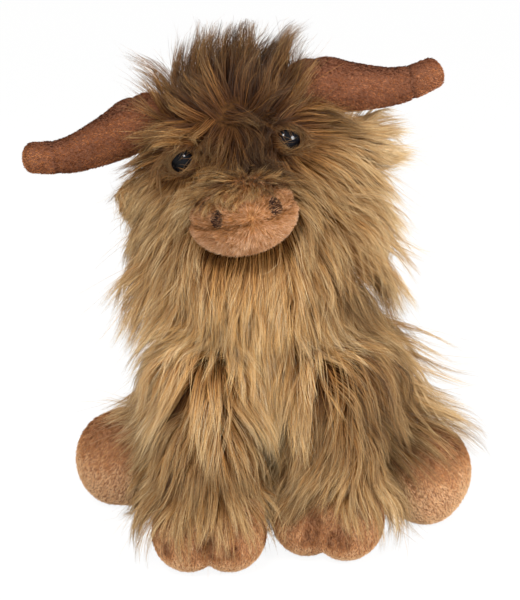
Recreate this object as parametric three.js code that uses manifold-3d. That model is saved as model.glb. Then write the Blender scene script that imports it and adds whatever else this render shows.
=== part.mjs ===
// A sitting plush Highland cow: long-pile torso, head, legs, ears and tail, with short-pile horns,
// muzzle and hooves. Each cover is a shell round its own filling, and the button eyes are locked by
// washers from inside. Millimetres, +Z up. The cow faces -Y, so its own left side is +X. The origin
// is on the flat patch that it sits on, below the neck.
import * as THREE from "three";
import { mergeVertices } from "three/addons/utils/BufferGeometryUtils.js";
import Module from "manifold-3d";

const wasm = await Module();
wasm.setup();

// Fabrics and clearances
const PILE = 13; // lying long pile with its backing, through which a long-pile cover is measured
const PLUSH = 2.4; // short-pile fabric of horns, muzzle, hooves and linings
const GAP = 0.35; // between sewn neighbours
const TURN_GAP = 0.6; // between a limb's ball-shaped root and the pocket that it turns in
const FILLING_GAP = 0.5; // between a filling and the cover round it
const SWEEP_ROOM = 0.8; // between a limb and the body that it swings past
const FLAT_CUT = 0.5; // everything that rests on the floor, z = 0, is cut flat this deep

// Torso: [height, half width, half depth, middle in y]
const TORSO_SECTIONS = [
  [-FLAT_CUT, 50, 42, 12],
  [22, 58, 47, 12],
  [46, 61, 48, 12],
  [70, 65, 47, 11],
  [90, 61, 43, 8],
  [106, 49, 38, 4],
  [122, 35, 34, 2],
];
const TORSO_CAP = 15;
const TORSO_BLUNTNESS = 3; // its sitting end is flatter than a sphere's
const POUCH_TOP = 32; // the pellet pouch fills the torso up to this height

// Neck: every head joint turns about this point, the middle of the torso's domed top
const NECK = new THREE.Vector3(1.5, 2, 118);
const NECK_LEAN = 12; // degrees that the head leans towards the cow's right
const DOME_R = 46;
const NECK_GAP = 0.3; // running clearance between the shells that slide round the dome
const GUSSET = { thick: 1.6, rim: 26 }; // rim in degrees from the neck's axis
const LADDER_THREAD_R = 0.8;
const LADDER_RIM = 21;
const NECK_OPENING_R = 14; // both covers were filled through it

// Head, in its own upright frame with the neck at the origin: [height, half width, half depth, y]
const HEAD_SECTIONS = [
  [6, 56, 54, 1],
  [32, 64, 58, 0],
  [56, 59, 54, 0],
  [80, 51, 48, -1],
  [102, 41, 40, -1],
  [123, 27, 27, -1],
];
const HEAD_CAP = 16;
const FORELOCK = { at: [0, -4, 112], radii: [27, 17, 23] };

// Muzzle, nostrils and eyes
const MUZZLE = { at: [-2, -55, 59], radii: [25, 19, 17], pitch: 8 };
const MOUTH = { below: 4, slope: 8 }; // the seam under the nose, mm below the middle and degrees
const NOSTRIL = { aside: 13.5, up: 5, radii: [3.4, 4.6], thick: 1, splay: 14 };
const EYE = { aside: 26, y: -40, z: 88, r: 6.2, dome: 4.4, middle: 1.5 };
const EYE_AIM = new THREE.Vector3(0.42, -0.88, 0.16).normalize();
const EYE_WELL_R = 6.9;
const SHANK = { r: 1.9, length: 13, hole: 2.3 };
const WASHER = { r: 7, thick: 1.8, behind: 7.2 };

// Horns, from the root out: [share of the length, y, z, half height, half depth]
const HORN_FROM = 40; // x of the root
const HORN_LENGTH = 65.5; // along x
const HORN_SECTIONS = [
  [0, -3, 106, 11, 11],
  [0.12, -4, 104.6, 13.4, 12.6],
  [0.27, -5, 101.5, 12.4, 11.6],
  [0.46, -6, 98.6, 10.6, 10],
  [0.64, -7, 97, 9, 8.6],
  [0.81, -8, 98, 8, 7.8],
  [1, -9, 101, 7.4, 7.2],
];
const HORN_ROOT_R = 12.6;
const HORN_CAP = 5;
const HORN_TIP_SHARE = 0.75; // where the tip panel is sewn on
const HORN_FLEX = 6; // degrees up and down

// Ears, from the root out: [x, y, z, half height, half thickness]
const EAR_SECTIONS = [
  [50, 6, 72, 6, 5],
  [58, 7, 69.5, 12, 6.5],
  [65, 8, 66, 11.5, 6],
  [72, 9, 62, 7.5, 5],
];
const EAR_ROOT_R = 7;
const EAR_CAP = 4;
const EAR_FOLD = 25; // degrees forwards and backwards

// Front legs hang from the chest: [share of the drop, half width, half depth]
const SHOULDER = { x: 31, y: -38, z: 80, r: 17 };
const FRONT_LEG_SECTIONS = [
  [0, 19, 18],
  [0.5, 26, 24.5],
  [1, 27, 25.5],
  [1.5, 26, 24],
];
const LEG_CAP = 4;
const FRONT_LEG_MIDDLE = 30; // x of the leg's centre line at the ankle
const FRONT_ANKLE = 30; // height of the seam between leg and hoof
const ANKLE_DROP = 2; // how far under that seam the hoof's ankle has its middle
const FRONT_REACH = { left: 5, right: 20 }; // how far in front of the shoulder the ankle hangs
const FRONT_FOOT_TURN = { left: -16, right: 0 }; // degrees about the vertical
const FRONT_LIFT = 50; // degrees that a front leg lifts forwards

// Hind legs lie out to the sides on the floor
const HIP = { x: 59, y: 6, z: 26, r: 15.5 };
const HIP_NECK_R = 14.5; // where the leg leaves its root
const HIND_R = 25.5;
const HIND_LENGTH = 17; // from the hip to the seam of the hoof
const HIND_SPLAY = { left: 22, right: -36 }; // degrees that the foot points forward of sideways
const HIND_TRAVEL = { back: -42, forward: 30 }; // the splay at either end of its range

// A hoof is two toes side by side, under an ankle: half sizes across, along and up
const FRONT_FOOT = { across: 18, apart: 10, along: 22.5, up: 18.5, ahead: 3, ankle: [27, 23, 14] };
const HIND_FOOT = { across: 22, apart: 4, along: 22, up: 25.5, ahead: 9, ankle: [25, 15, 25] };

// Tail: [y, z, radius] of the cord, then of the tuft
const TAIL_ROOT_R = 7;
const TAIL_SECTIONS = [
  [62, 44, 6],
  [73, 40, 5.6],
  [83, 28, 5.2],
  [89, 14, 5],
];
const TUFT_SECTIONS = [
  [89, 15, 6.5],
  [96, 11, 9],
  [108, 9.8, 9],
  [121, 9.4, 6],
];
const TAIL_CAP = 3;
const TAIL_LIFT = 60; // degrees

const CAP_RINGS = 3;
// Facets round a cover, a limb, a limb's root, the head's hollow and a filling
const COVER_SIDES = 20;
const LIMB_SIDES = 12;
const ROOT_SIDES = 14;
const DISH_SIDES = 24;
const FILLING_SIDES = 8;
const UP = new THREE.Vector3(0, 0, 1);
const DOWN = new THREE.Vector3(0, 0, -1);
const ACROSS = new THREE.Vector3(1, 0, 0);
const SIDES = { left: 1, right: -1 };
const HALF_TURN = 180; // degrees
const radians = THREE.MathUtils.degToRad;

// From a three.js geometry to a solid and back
function solidOf(geometry) {
  const bare = geometry.clone();
  bare.deleteAttribute("normal");
  bare.deleteAttribute("uv");
  const merged = mergeVertices(bare, 1e-4);
  const triVerts = new Uint32Array(merged.index.array);
  const vertProperties = new Float32Array(merged.attributes.position.array);
  const solid = new wasm.Manifold(new wasm.Mesh({ numProp: 3, vertProperties, triVerts }));
  if (solid.volume() > 0) return solid;
  triVerts.reverse();
  return new wasm.Manifold(new wasm.Mesh({ numProp: 3, vertProperties, triVerts }));
}

function geometryOf(solid) {
  const mesh = solid.getMesh();
  const geometry = new THREE.BufferGeometry();
  const position = new Float32Array(mesh.vertProperties);
  geometry.setAttribute("position", new THREE.BufferAttribute(position, 3));
  geometry.setIndex(new THREE.BufferAttribute(new Uint32Array(mesh.triVerts), 1));
  return geometry;
}

// A cut can leave slivers of fabric behind: the piece itself is the largest body
function largest(solid) {
  const bodies = solid.decompose();
  bodies.sort((a, b) => b.volume() - a.volume());
  return bodies[0];
}

// A faceted ball inside its sphere
function ball(centre, radius, sides = ROOT_SIDES) {
  const geometry = new THREE.SphereGeometry(radius, sides, Math.round(sides * 0.6));
  return solidOf(geometry.rotateX(Math.PI / 2).translate(centre.x, centre.y, centre.z));
}

// A faceted ball with its whole sphere inside it, which a ball of that radius can turn in
function socket(centre, radius, sides = ROOT_SIDES) {
  const halfStep = Math.PI / (2 * Math.round(sides * 0.6));
  return ball(centre, radius / (Math.cos(Math.PI / sides) * Math.cos(halfStep)), sides);
}

// An ellipsoid in a frame of its own, which place sets in the part's frame
function ellipsoid(radii, place, sides = 18) {
  const geometry = new THREE.SphereGeometry(1, sides, Math.round(sides * 0.6));
  geometry.rotateX(Math.PI / 2).scale(...radii.map((r) => Math.max(r, 1)));
  return solidOf(geometry.applyMatrix4(place));
}

function frameAt(origin, turnX = 0, turnY = 0, turnZ = 0) {
  const turn = new THREE.Euler(radians(turnX), radians(turnY), radians(turnZ), "ZYX");
  return new THREE.Matrix4().makeRotationFromEuler(turn).setPosition(...origin);
}

// A cylinder from one point along a direction
function rod(from, direction, radius, length, sides = 12) {
  const geometry = new THREE.CylinderGeometry(radius, radius, length, sides);
  geometry.translate(0, length / 2, 0);
  geometry.applyQuaternion(new THREE.Quaternion().setFromUnitVectors(new THREE.Vector3(0, 1, 0), direction));
  return solidOf(geometry.translate(from.x, from.y, from.z));
}

// Everything on the far side of a plane
function beyond(point, direction) {
  const reach = 600;
  const geometry = new THREE.BoxGeometry(reach, reach, reach).translate(0, reach / 2, 0);
  geometry.applyQuaternion(new THREE.Quaternion().setFromUnitVectors(new THREE.Vector3(0, 1, 0), direction));
  return solidOf(geometry.translate(point.x, point.y, point.z));
}

const onFloor = (solid, lift = 0) => solid.subtract(beyond(new THREE.Vector3(0, 0, lift), DOWN));

// A smooth value through evenly spaced keys
function along(keys, t) {
  const points = keys.map((key) => new THREE.Vector3(key, 0, 0));
  return new THREE.CatmullRomCurve3(points, false, "catmullrom", 0.5).getPoint(t).x;
}

// A stuffed form that swells and tapers: oval sections along a curve, round at both ends.
// With an inset it is the same form, that much smaller on every side.
function swell({ points, widths, depths, across = ACROSS, cap, blunt = 2, rings, sides, inset = 0 }) {
  const curve = new THREE.CatmullRomCurve3(points, false, "catmullrom", 0.5);
  const length = curve.getLength();
  const round = Math.max(cap - inset, 1);
  const ends = [];
  for (let i = 0; i < CAP_RINGS; i++) {
    const angle = ((i + 0.5) / CAP_RINGS) * (Math.PI / 2);
    const distance = inset + round * (1 - Math.cos(angle) ** (2 / blunt));
    ends.push([distance, Math.sin(angle) ** (2 / blunt)]);
  }
  const stations = [...ends];
  const start = inset + round;
  for (let i = 0; i <= rings; i++) stations.push([start + ((length - 2 * start) * i) / rings, 1]);
  for (const [distance, share] of [...ends].reverse()) stations.push([length - distance, share]);

  // Past either end the curve runs straight on
  const at = (distance) => {
    const held = THREE.MathUtils.clamp(distance, 0, length);
    const t = curve.getUtoTmapping(held / length);
    const tangent = curve.getTangent(t);
    return { t, tangent, middle: curve.getPoint(t).addScaledVector(tangent, distance - held) };
  };
  const vertices = [at(inset).middle];
  for (const [distance, share] of stations) {
    const { t, tangent, middle } = at(distance);
    const side = across.clone().addScaledVector(tangent, -across.dot(tangent)).normalize();
    const deep = new THREE.Vector3().crossVectors(tangent, side);
    const a = Math.max(along(widths, t) - inset, 1) * share;
    const b = Math.max(along(depths, t) - inset, 1) * share;
    for (let j = 0; j < sides; j++) {
      const turn = (j / sides) * 2 * Math.PI;
      const point = middle.clone().addScaledVector(side, a * Math.cos(turn));
      vertices.push(point.addScaledVector(deep, b * Math.sin(turn)));
    }
  }
  vertices.push(at(length - inset).middle);

  const faces = [];
  const ring = (k, j) => 1 + k * sides + (j % sides);
  const final = stations.length - 1;
  for (let j = 0; j < sides; j++) {
    faces.push(0, ring(0, j + 1), ring(0, j));
    faces.push(vertices.length - 1, ring(final, j), ring(final, j + 1));
    for (let k = 0; k < final; k++) {
      faces.push(ring(k, j), ring(k, j + 1), ring(k + 1, j + 1));
      faces.push(ring(k, j), ring(k + 1, j + 1), ring(k + 1, j));
    }
  }
  const geometry = new THREE.BufferGeometry().setFromPoints(vertices);
  geometry.setIndex(faces);
  return solidOf(geometry);
}

// What a limb must stay out of, wherever it stands in its range: the body that it swings past,
// turned about the limb's joint by each of the angles. The root itself is spared.
function sweep(body, pivot, root, axis, angles) {
  const spared = body.subtract(root);
  return angles.map((angle) => {
    const place = new THREE.Matrix4().makeTranslation(pivot.x, pivot.y, pivot.z);
    place.multiply(new THREE.Matrix4().makeRotationAxis(axis, radians(-angle)));
    place.multiply(new THREE.Matrix4().makeTranslation(-pivot.x, -pivot.y, -pivot.z));
    return spared.transform(place.elements);
  });
}

const without = (solid, cutters) => cutters.reduce((rest, cutter) => rest.subtract(cutter), solid);

// Materials, in the colours of the toy
function material(name, color, roughness) {
  return new THREE.MeshStandardMaterial({ name, color, roughness, metalness: 0 });
}
const LONG_PILE = material("long_pile", 0xb8864f, 0.95);
const SHORT_PILE = material("short_pile", 0x8a5a3f, 0.95);
const MUZZLE_PILE = material("muzzle_pile", 0xb08058, 0.95);
const FIBRE = material("polyester_fibre", 0xf0eee8, 1);
const POUCH_CLOTH = material("pouch_cloth", 0xd9d5cb, 0.9);
const THREAD = material("dark_thread", 0x3b2419, 0.8);
const EYE_PLASTIC = material("eye_plastic", 0x0b0a0a, 0.12);
const WASHER_PLASTIC = material("washer_plastic", 0xdddddd, 0.5);

const cow = new THREE.Group();
const head = new THREE.Group();
head.position.copy(NECK);
head.rotation.y = radians(-NECK_LEAN);
cow.add(head);

function piece(name, solid, finish, parent = cow) {
  const mesh = new THREE.Mesh(geometryOf(largest(solid)), finish);
  mesh.name = name;
  parent.add(mesh);
}

// Torso
const mirrored = (sign, { x, y, z }) => new THREE.Vector3(sign * x, y, z);
const tailRoot = new THREE.Vector3(0, TAIL_SECTIONS[0][0], TAIL_SECTIONS[0][1]);

function torsoForm(inset, rings = 6, sides = COVER_SIDES) {
  const trunk = swell({
    points: TORSO_SECTIONS.map(([z, , , y]) => new THREE.Vector3(0, y, z)),
    widths: TORSO_SECTIONS.map((section) => section[1]),
    depths: TORSO_SECTIONS.map((section) => section[2]),
    cap: TORSO_CAP,
    blunt: TORSO_BLUNTNESS,
    rings,
    sides,
    inset,
  });
  return trunk.add(ball(NECK, DOME_R - inset, sides));
}

// The pockets that the limbs' roots turn in
function pockets() {
  const roots = Object.values(SIDES).flatMap((sign) => [
    socket(mirrored(sign, SHOULDER), SHOULDER.r + TURN_GAP),
    socket(mirrored(sign, HIP), HIP.r + TURN_GAP),
  ]);
  return [...roots, socket(tailRoot, TAIL_ROOT_R + TURN_GAP, FILLING_SIDES)];
}

function addTorso() {
  const cover = without(torsoForm(0), pockets())
    .subtract(torsoForm(PILE, 4, LIMB_SIDES))
    .subtract(rod(NECK, UP, NECK_OPENING_R, DOME_R + PILE));
  piece("torso_cover", onFloor(cover), LONG_PILE);
  const filling = torsoForm(PILE + FILLING_GAP, 4, LIMB_SIDES);
  const seam = new THREE.Vector3(0, 0, POUCH_TOP);
  piece("pellet_pouch", filling.subtract(beyond(seam, UP)), POUCH_CLOTH);
  const above = seam.clone().addScaledVector(UP, GAP);
  piece("torso_stuffing", filling.subtract(beyond(above, DOWN)), FIBRE);
}

// Neck: the fabric disc that closes the head and the ring of ladder stitches, both on the dome
function addNeck() {
  const inner = DOME_R + NECK_GAP;
  const outer = inner + GUSSET.thick;
  const rim = radians(GUSSET.rim);
  const arc = (radius, from, to, steps) =>
    Array.from({ length: steps + 1 }, (_, i) => {
      const angle = from + ((to - from) * i) / steps;
      return new THREE.Vector2(radius * Math.sin(angle), radius * Math.cos(angle));
    });
  const disc = new THREE.LatheGeometry([...arc(inner, 0, rim, 4), ...arc(outer, rim, 0, 4)], 20);
  piece("neck_gusset", solidOf(disc.rotateX(Math.PI / 2)), SHORT_PILE, head);
  const lie = outer + NECK_GAP + LADDER_THREAD_R;
  const angle = radians(LADDER_RIM);
  const ring = new THREE.TorusGeometry(lie * Math.sin(angle), LADDER_THREAD_R, 8, 20);
  piece("neck_stitching", solidOf(ring.translate(0, 0, lie * Math.cos(angle))), THREAD, head);
  return lie + LADDER_THREAD_R + NECK_GAP;
}

// Head. The forelock is all pile, so no lining or filling reaches into it.
function headForm(inset, rings = 6, sides = COVER_SIDES) {
  const skull = swell({
    points: HEAD_SECTIONS.map(([z, , , y]) => new THREE.Vector3(0, y, z)),
    widths: HEAD_SECTIONS.map((section) => section[1]),
    depths: HEAD_SECTIONS.map((section) => section[2]),
    cap: HEAD_CAP,
    rings,
    sides,
    inset,
  });
  if (inset > 0) return skull;
  return skull.add(ellipsoid(FORELOCK.radii, frameAt(FORELOCK.at), LIMB_SIDES));
}

const hornX = (share) => HORN_FROM + share * HORN_LENGTH;

function hornRoot(sign) {
  const [share, y, z] = HORN_SECTIONS[0];
  return new THREE.Vector3(sign * hornX(share), y, z);
}

function earRoot(sign) {
  const [x, y, z] = EAR_SECTIONS[0];
  return new THREE.Vector3(sign * x, y, z);
}

// An eye's back sits here, and it looks along aim
function eyeSeat(sign) {
  const aim = EYE_AIM.clone().multiply(new THREE.Vector3(sign, 1, 1));
  const middle = new THREE.Vector3(sign * EYE.aside, EYE.y, EYE.z);
  return { aim, seat: middle.addScaledVector(aim, -EYE.middle), back: aim.clone().negate() };
}

function headPockets() {
  return Object.values(SIDES).flatMap((sign) => [
    socket(hornRoot(sign), HORN_ROOT_R + TURN_GAP),
    socket(earRoot(sign), EAR_ROOT_R + TURN_GAP, LIMB_SIDES),
  ]);
}

function addHead(dishR) {
  const origin = new THREE.Vector3();
  let cavity = headForm(PILE, 4, LIMB_SIDES).subtract(socket(origin, dishR + 2 * PLUSH, LIMB_SIDES));
  let cover = without(headForm(0), headPockets())
    .subtract(socket(origin, dishR, DISH_SIDES))
    .subtract(rod(origin, UP, NECK_OPENING_R, dishR + PILE));
  let filling = headForm(PILE + FILLING_GAP, 4, LIMB_SIDES);
  filling = filling.subtract(socket(origin, dishR + 2 * PLUSH + FILLING_GAP, LIMB_SIDES));
  for (const sign of Object.values(SIDES)) {
    const { aim, seat, back } = eyeSeat(sign);
    const inside = seat.clone().addScaledVector(back, WASHER.behind);
    cavity = cavity.add(rod(inside, back, WASHER.r + FILLING_GAP, SHANK.length));
    cover = cover.subtract(rod(seat, aim, EYE_WELL_R, PILE));
    const rim = seat.clone().addScaledVector(aim, EYE.middle);
    cover = cover.subtract(rod(rim, back, SHANK.hole, SHANK.length, 8));
    filling = filling.subtract(rod(inside, back, WASHER.r + 2 * FILLING_GAP, SHANK.length));
  }
  piece("head_cover", cover.subtract(cavity), LONG_PILE, head);
  piece("head_stuffing", filling, FIBRE, head);
}

// Eyes: a dome moulded with its shank, and the washer that locks it
function addEye(side, sign) {
  const { aim, seat, back } = eyeSeat(sign);
  const base = GAP;
  const domed = [new THREE.Vector2(0, -SHANK.length), new THREE.Vector2(SHANK.r, -SHANK.length)];
  domed.push(new THREE.Vector2(SHANK.r, base), new THREE.Vector2(EYE.r, base));
  const steps = 4;
  for (let i = 1; i < steps; i++) {
    const angle = (i / steps) * (Math.PI / 2);
    domed.push(new THREE.Vector2(EYE.r * Math.cos(angle), base + EYE.dome * Math.sin(angle)));
  }
  domed.push(new THREE.Vector2(0, base + EYE.dome));
  const turn = new THREE.Quaternion().setFromUnitVectors(new THREE.Vector3(0, 1, 0), aim);
  const eye = new THREE.LatheGeometry(domed, 12).applyQuaternion(turn);
  piece(`eye_${side}`, solidOf(eye.translate(seat.x, seat.y, seat.z)), EYE_PLASTIC, head);
  const front = seat.clone().addScaledVector(back, WASHER.behind + GAP);
  const washer = rod(front, back, WASHER.r, WASHER.thick);
  const bored = washer.subtract(rod(seat, back, SHANK.hole, SHANK.length, 8));
  piece(`eye_washer_${side}`, bored, WASHER_PLASTIC, head);
}

// Muzzle: two short-pile panels that meet at the mouth seam, sewn to the face over their filling
function muzzleForm(inset, sides = 16) {
  return ellipsoid(MUZZLE.radii.map((radius) => radius - inset), frameAt(MUZZLE.at, MUZZLE.pitch), sides);
}

function addMuzzle() {
  const face = headForm(-GAP);
  const shell = muzzleForm(0).subtract(muzzleForm(PLUSH, FILLING_SIDES)).subtract(face);
  const slope = new THREE.Vector3(0, -Math.sin(radians(MOUTH.slope)), Math.cos(radians(MOUTH.slope)));
  const mouth = new THREE.Vector3(...MUZZLE.at).addScaledVector(UP, -MOUTH.below);
  const lowerEdge = mouth.clone().addScaledVector(slope, -GAP);
  piece("muzzle_upper_panel", shell.subtract(beyond(mouth, slope.clone().negate())), MUZZLE_PILE, head);
  piece("muzzle_lower_panel", shell.subtract(beyond(lowerEdge, slope)), MUZZLE_PILE, head);
  const filling = muzzleForm(PLUSH + FILLING_GAP, FILLING_SIDES).subtract(face);
  piece("muzzle_stuffing", filling, FIBRE, head);
}

// A nostril is a pad of satin stitches that lies on the upper panel
function addNostril(side, sign) {
  const [x, y, z] = MUZZLE.at;
  const at = [x + sign * NOSTRIL.aside, y - MUZZLE.radii[1], z + NOSTRIL.up];
  const place = frameAt(at, 0, -sign * NOSTRIL.splay, 0);
  const [across, up] = NOSTRIL.radii;
  const oval = new THREE.CylinderGeometry(1, 1, 2 * MUZZLE.radii[1], 14).scale(across, 1, up);
  const patch = muzzleForm(-GAP - NOSTRIL.thick).subtract(muzzleForm(-GAP));
  const front = solidOf(oval.applyMatrix4(place));
  piece(`nostril_${side}`, patch.intersect(front), THREAD, head);
}

// Horns: a tapering cover, a tip panel seamed on round the paddle-shaped end, and a filling
function hornForm(sign, inset, rings = 5, sides = LIMB_SIDES) {
  const limb = swell({
    points: HORN_SECTIONS.map(([share, y, z]) => new THREE.Vector3(sign * hornX(share), y, z)),
    widths: HORN_SECTIONS.map((section) => section[3]),
    depths: HORN_SECTIONS.map((section) => section[4]),
    across: UP,
    cap: HORN_CAP,
    rings,
    sides,
    inset,
  });
  return limb.add(ball(hornRoot(sign), HORN_ROOT_R - inset, sides));
}

function addHorn(side, sign) {
  const root = socket(hornRoot(sign), HORN_ROOT_R, COVER_SIDES);
  const raising = new THREE.Vector3(0, -sign, 0);
  const skulls = sweep(headForm(-SWEEP_ROOM), hornRoot(sign), root, raising, [-HORN_FLEX, 0]);
  const outwards = new THREE.Vector3(sign, 0, 0);
  const seam = new THREE.Vector3(sign * hornX(HORN_TIP_SHARE), 0, 0);
  const shell = without(hornForm(sign, 0), skulls).subtract(hornForm(sign, PLUSH, 4, FILLING_SIDES));
  piece(`horn_cover_${side}`, shell.subtract(beyond(seam, outwards)), SHORT_PILE, head);
  const tipFrom = seam.clone().addScaledVector(outwards, GAP);
  const tip = shell.subtract(beyond(tipFrom, outwards.clone().negate()));
  piece(`horn_tip_${side}`, tip, SHORT_PILE, head);
  const filling = without(hornForm(sign, PLUSH + FILLING_GAP, 4, FILLING_SIDES), skulls);
  piece(`horn_stuffing_${side}`, filling, FIBRE, head);
}

// Ears: flat, unfilled flaps of long pile
function addEar(side, sign) {
  const flap = swell({
    points: EAR_SECTIONS.map(([x, y, z]) => new THREE.Vector3(sign * x, y, z)),
    widths: EAR_SECTIONS.map((section) => section[3]),
    depths: EAR_SECTIONS.map((section) => section[4]),
    across: UP,
    cap: EAR_CAP,
    rings: 4,
    sides: LIMB_SIDES,
  }).add(ball(earRoot(sign), EAR_ROOT_R, LIMB_SIDES));
  const root = socket(earRoot(sign), EAR_ROOT_R, COVER_SIDES);
  const skulls = sweep(headForm(-SWEEP_ROOM), earRoot(sign), root, UP, [-EAR_FOLD, EAR_FOLD]);
  piece(`ear_${side}`, without(flap, skulls), LONG_PILE, head);
}

// A hoof in a frame whose +Y is where it points: two toes, under an ankle on the outside
function hoofForm(place, foot, inset, sides) {
  const lift = foot.up - FLAT_CUT;
  const toes = Object.values(SIDES).map((sign) => {
    const at = new THREE.Matrix4().makeTranslation(sign * foot.apart, foot.ahead, lift);
    const radii = [foot.across, foot.along, foot.up].map((radius) => radius - inset);
    return ellipsoid(radii, place.clone().multiply(at), sides);
  });
  const pair = toes[0].add(toes[1]);
  if (inset > 0) return pair;
  const at = new THREE.Matrix4().makeTranslation(0, 0, foot.ankleAt);
  return pair.add(ellipsoid(foot.ankle, place.clone().multiply(at), sides));
}

// A leg's three pieces: the cover and the hoof meet at the plane through seam that faces onwards,
// and one filling runs through both
function addLeg(name, { legForm, hoof, seam, onwards, cutters }) {
  const next = seam.clone().addScaledVector(onwards, GAP);
  const back = onwards.clone().negate();
  const cover = legForm(0, LIMB_SIDES).subtract(legForm(PILE, FILLING_SIDES));
  piece(`${name}_cover`, onFloor(without(cover, cutters).subtract(beyond(seam, onwards))), LONG_PILE);
  const hoofCover = hoof(0, LIMB_SIDES).subtract(hoof(PLUSH, FILLING_SIDES));
  piece(`${name}_hoof`, onFloor(without(hoofCover, cutters).subtract(beyond(next, back))), SHORT_PILE);
  const inLeg = legForm(PILE + FILLING_GAP, FILLING_SIDES);
  const inHoof = hoof(PLUSH + FILLING_GAP, FILLING_SIDES);
  const filling = inLeg.subtract(beyond(seam, onwards)).add(inHoof.subtract(beyond(next, back)));
  piece(`${name}_stuffing`, without(filling.add(inLeg.intersect(inHoof)), cutters), FIBRE);
}

function addFrontLeg(side, sign) {
  const shoulder = mirrored(sign, SHOULDER);
  const ankle = new THREE.Vector3(sign * FRONT_LEG_MIDDLE, SHOULDER.y - FRONT_REACH[side], FRONT_ANKLE);
  const legForm = (inset, sides) =>
    swell({
      points: FRONT_LEG_SECTIONS.map(([share]) => shoulder.clone().lerp(ankle, share)),
      widths: FRONT_LEG_SECTIONS.map((section) => section[1]),
      depths: FRONT_LEG_SECTIONS.map((section) => section[2]),
      cap: LEG_CAP,
      rings: 3,
      sides,
      inset,
    }).add(ball(shoulder, SHOULDER.r - inset, sides));
  const place = frameAt([ankle.x, ankle.y, 0], 0, 0, HALF_TURN + FRONT_FOOT_TURN[side]);
  const foot = { ...FRONT_FOOT, ankleAt: FRONT_ANKLE - ANKLE_DROP };
  const root = socket(shoulder, SHOULDER.r, COVER_SIDES);
  const axis = ACROSS.clone().negate();
  const cutters = sweep(torsoForm(-SWEEP_ROOM), shoulder, root, axis, [0]);
  const hoof = (inset, sides) => hoofForm(place, foot, inset, sides);
  addLeg(`front_leg_${side}`, { legForm, hoof, seam: ankle, onwards: DOWN, cutters });
}

function addHindLeg(side, sign) {
  const hip = mirrored(sign, HIP);
  const splay = radians(HIND_SPLAY[side]);
  const onwards = new THREE.Vector3(sign * Math.cos(splay), -Math.sin(splay), 0);
  const seam = hip.clone().addScaledVector(onwards, HIND_LENGTH).setZ(HIND_R - FLAT_CUT);
  const far = seam.clone().addScaledVector(onwards, HIND_LENGTH);
  const legForm = (inset, sides) =>
    swell({
      points: [hip, hip.clone().lerp(seam, 0.5), seam, far],
      widths: [HIP_NECK_R, HIND_R, HIND_R, HIND_R],
      depths: [HIP_NECK_R, HIND_R, HIND_R, HIND_R],
      across: UP,
      cap: LEG_CAP,
      rings: 3,
      sides,
      inset,
    }).add(ball(hip, HIP.r - inset, sides));
  const facing = -sign * (HALF_TURN / 2 + HIND_SPLAY[side]);
  const place = frameAt([seam.x, seam.y, 0], 0, 0, facing);
  const foot = { ...HIND_FOOT, ankleAt: HIND_R - FLAT_CUT };
  const root = socket(hip, HIP.r, COVER_SIDES);
  const travel = Object.values(HIND_TRAVEL).map((end) => end - HIND_SPLAY[side]);
  const axis = new THREE.Vector3(0, 0, -sign);
  const cutters = sweep(torsoForm(-SWEEP_ROOM), hip, root, axis, [0, ...travel]);
  const hoof = (inset, sides) => hoofForm(place, foot, inset, sides);
  addLeg(`hind_leg_${side}`, { legForm, hoof, seam, onwards, cutters });
}

// Tail: a covered cord with a long tuft of pile round its end
function addTail() {
  const chain = (sections) => ({
    points: sections.map(([y, z]) => new THREE.Vector3(0, y, z)),
    widths: sections.map((section) => section[2]),
    depths: sections.map((section) => section[2]),
    cap: TAIL_CAP,
  });
  const shape = { rings: 5, sides: FILLING_SIDES };
  const bore = swell({ ...chain(TAIL_SECTIONS), ...shape, inset: -GAP });
  const cord = swell({ ...chain(TAIL_SECTIONS), ...shape }).add(ball(tailRoot, TAIL_ROOT_R, LIMB_SIDES));
  const root = socket(tailRoot, TAIL_ROOT_R, COVER_SIDES);
  const cutters = sweep(torsoForm(-SWEEP_ROOM), tailRoot, root, ACROSS, [0]);
  piece("tail_cord", without(cord, cutters), LONG_PILE);
  const tuft = swell({ ...chain(TUFT_SECTIONS), rings: 5, sides: LIMB_SIDES });
  piece("tail_tuft", onFloor(tuft.subtract(bore), FLAT_CUT), LONG_PILE);
}

addTorso();
const dishR = addNeck();
addHead(dishR);
addMuzzle();
for (const [side, sign] of Object.entries(SIDES)) {
  addNostril(side, sign);
  addEye(side, sign);
  addHorn(side, sign);
  addEar(side, sign);
  addFrontLeg(side, sign);
  addHindLeg(side, sign);
}
addTail();

export default cow;
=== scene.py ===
"""A sitting plush Highland cow: long combed pile over stuffed skins, short-pile horns, muzzle and
hooves, button eyes. Lengths are in millimetres until a mesh is made, in the frame of the part."""

import math

import bpy
import numpy as np
from mathutils import Matrix, Vector
from mathutils.bvhtree import BVHTree
from mathutils.kdtree import KDTree


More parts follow.
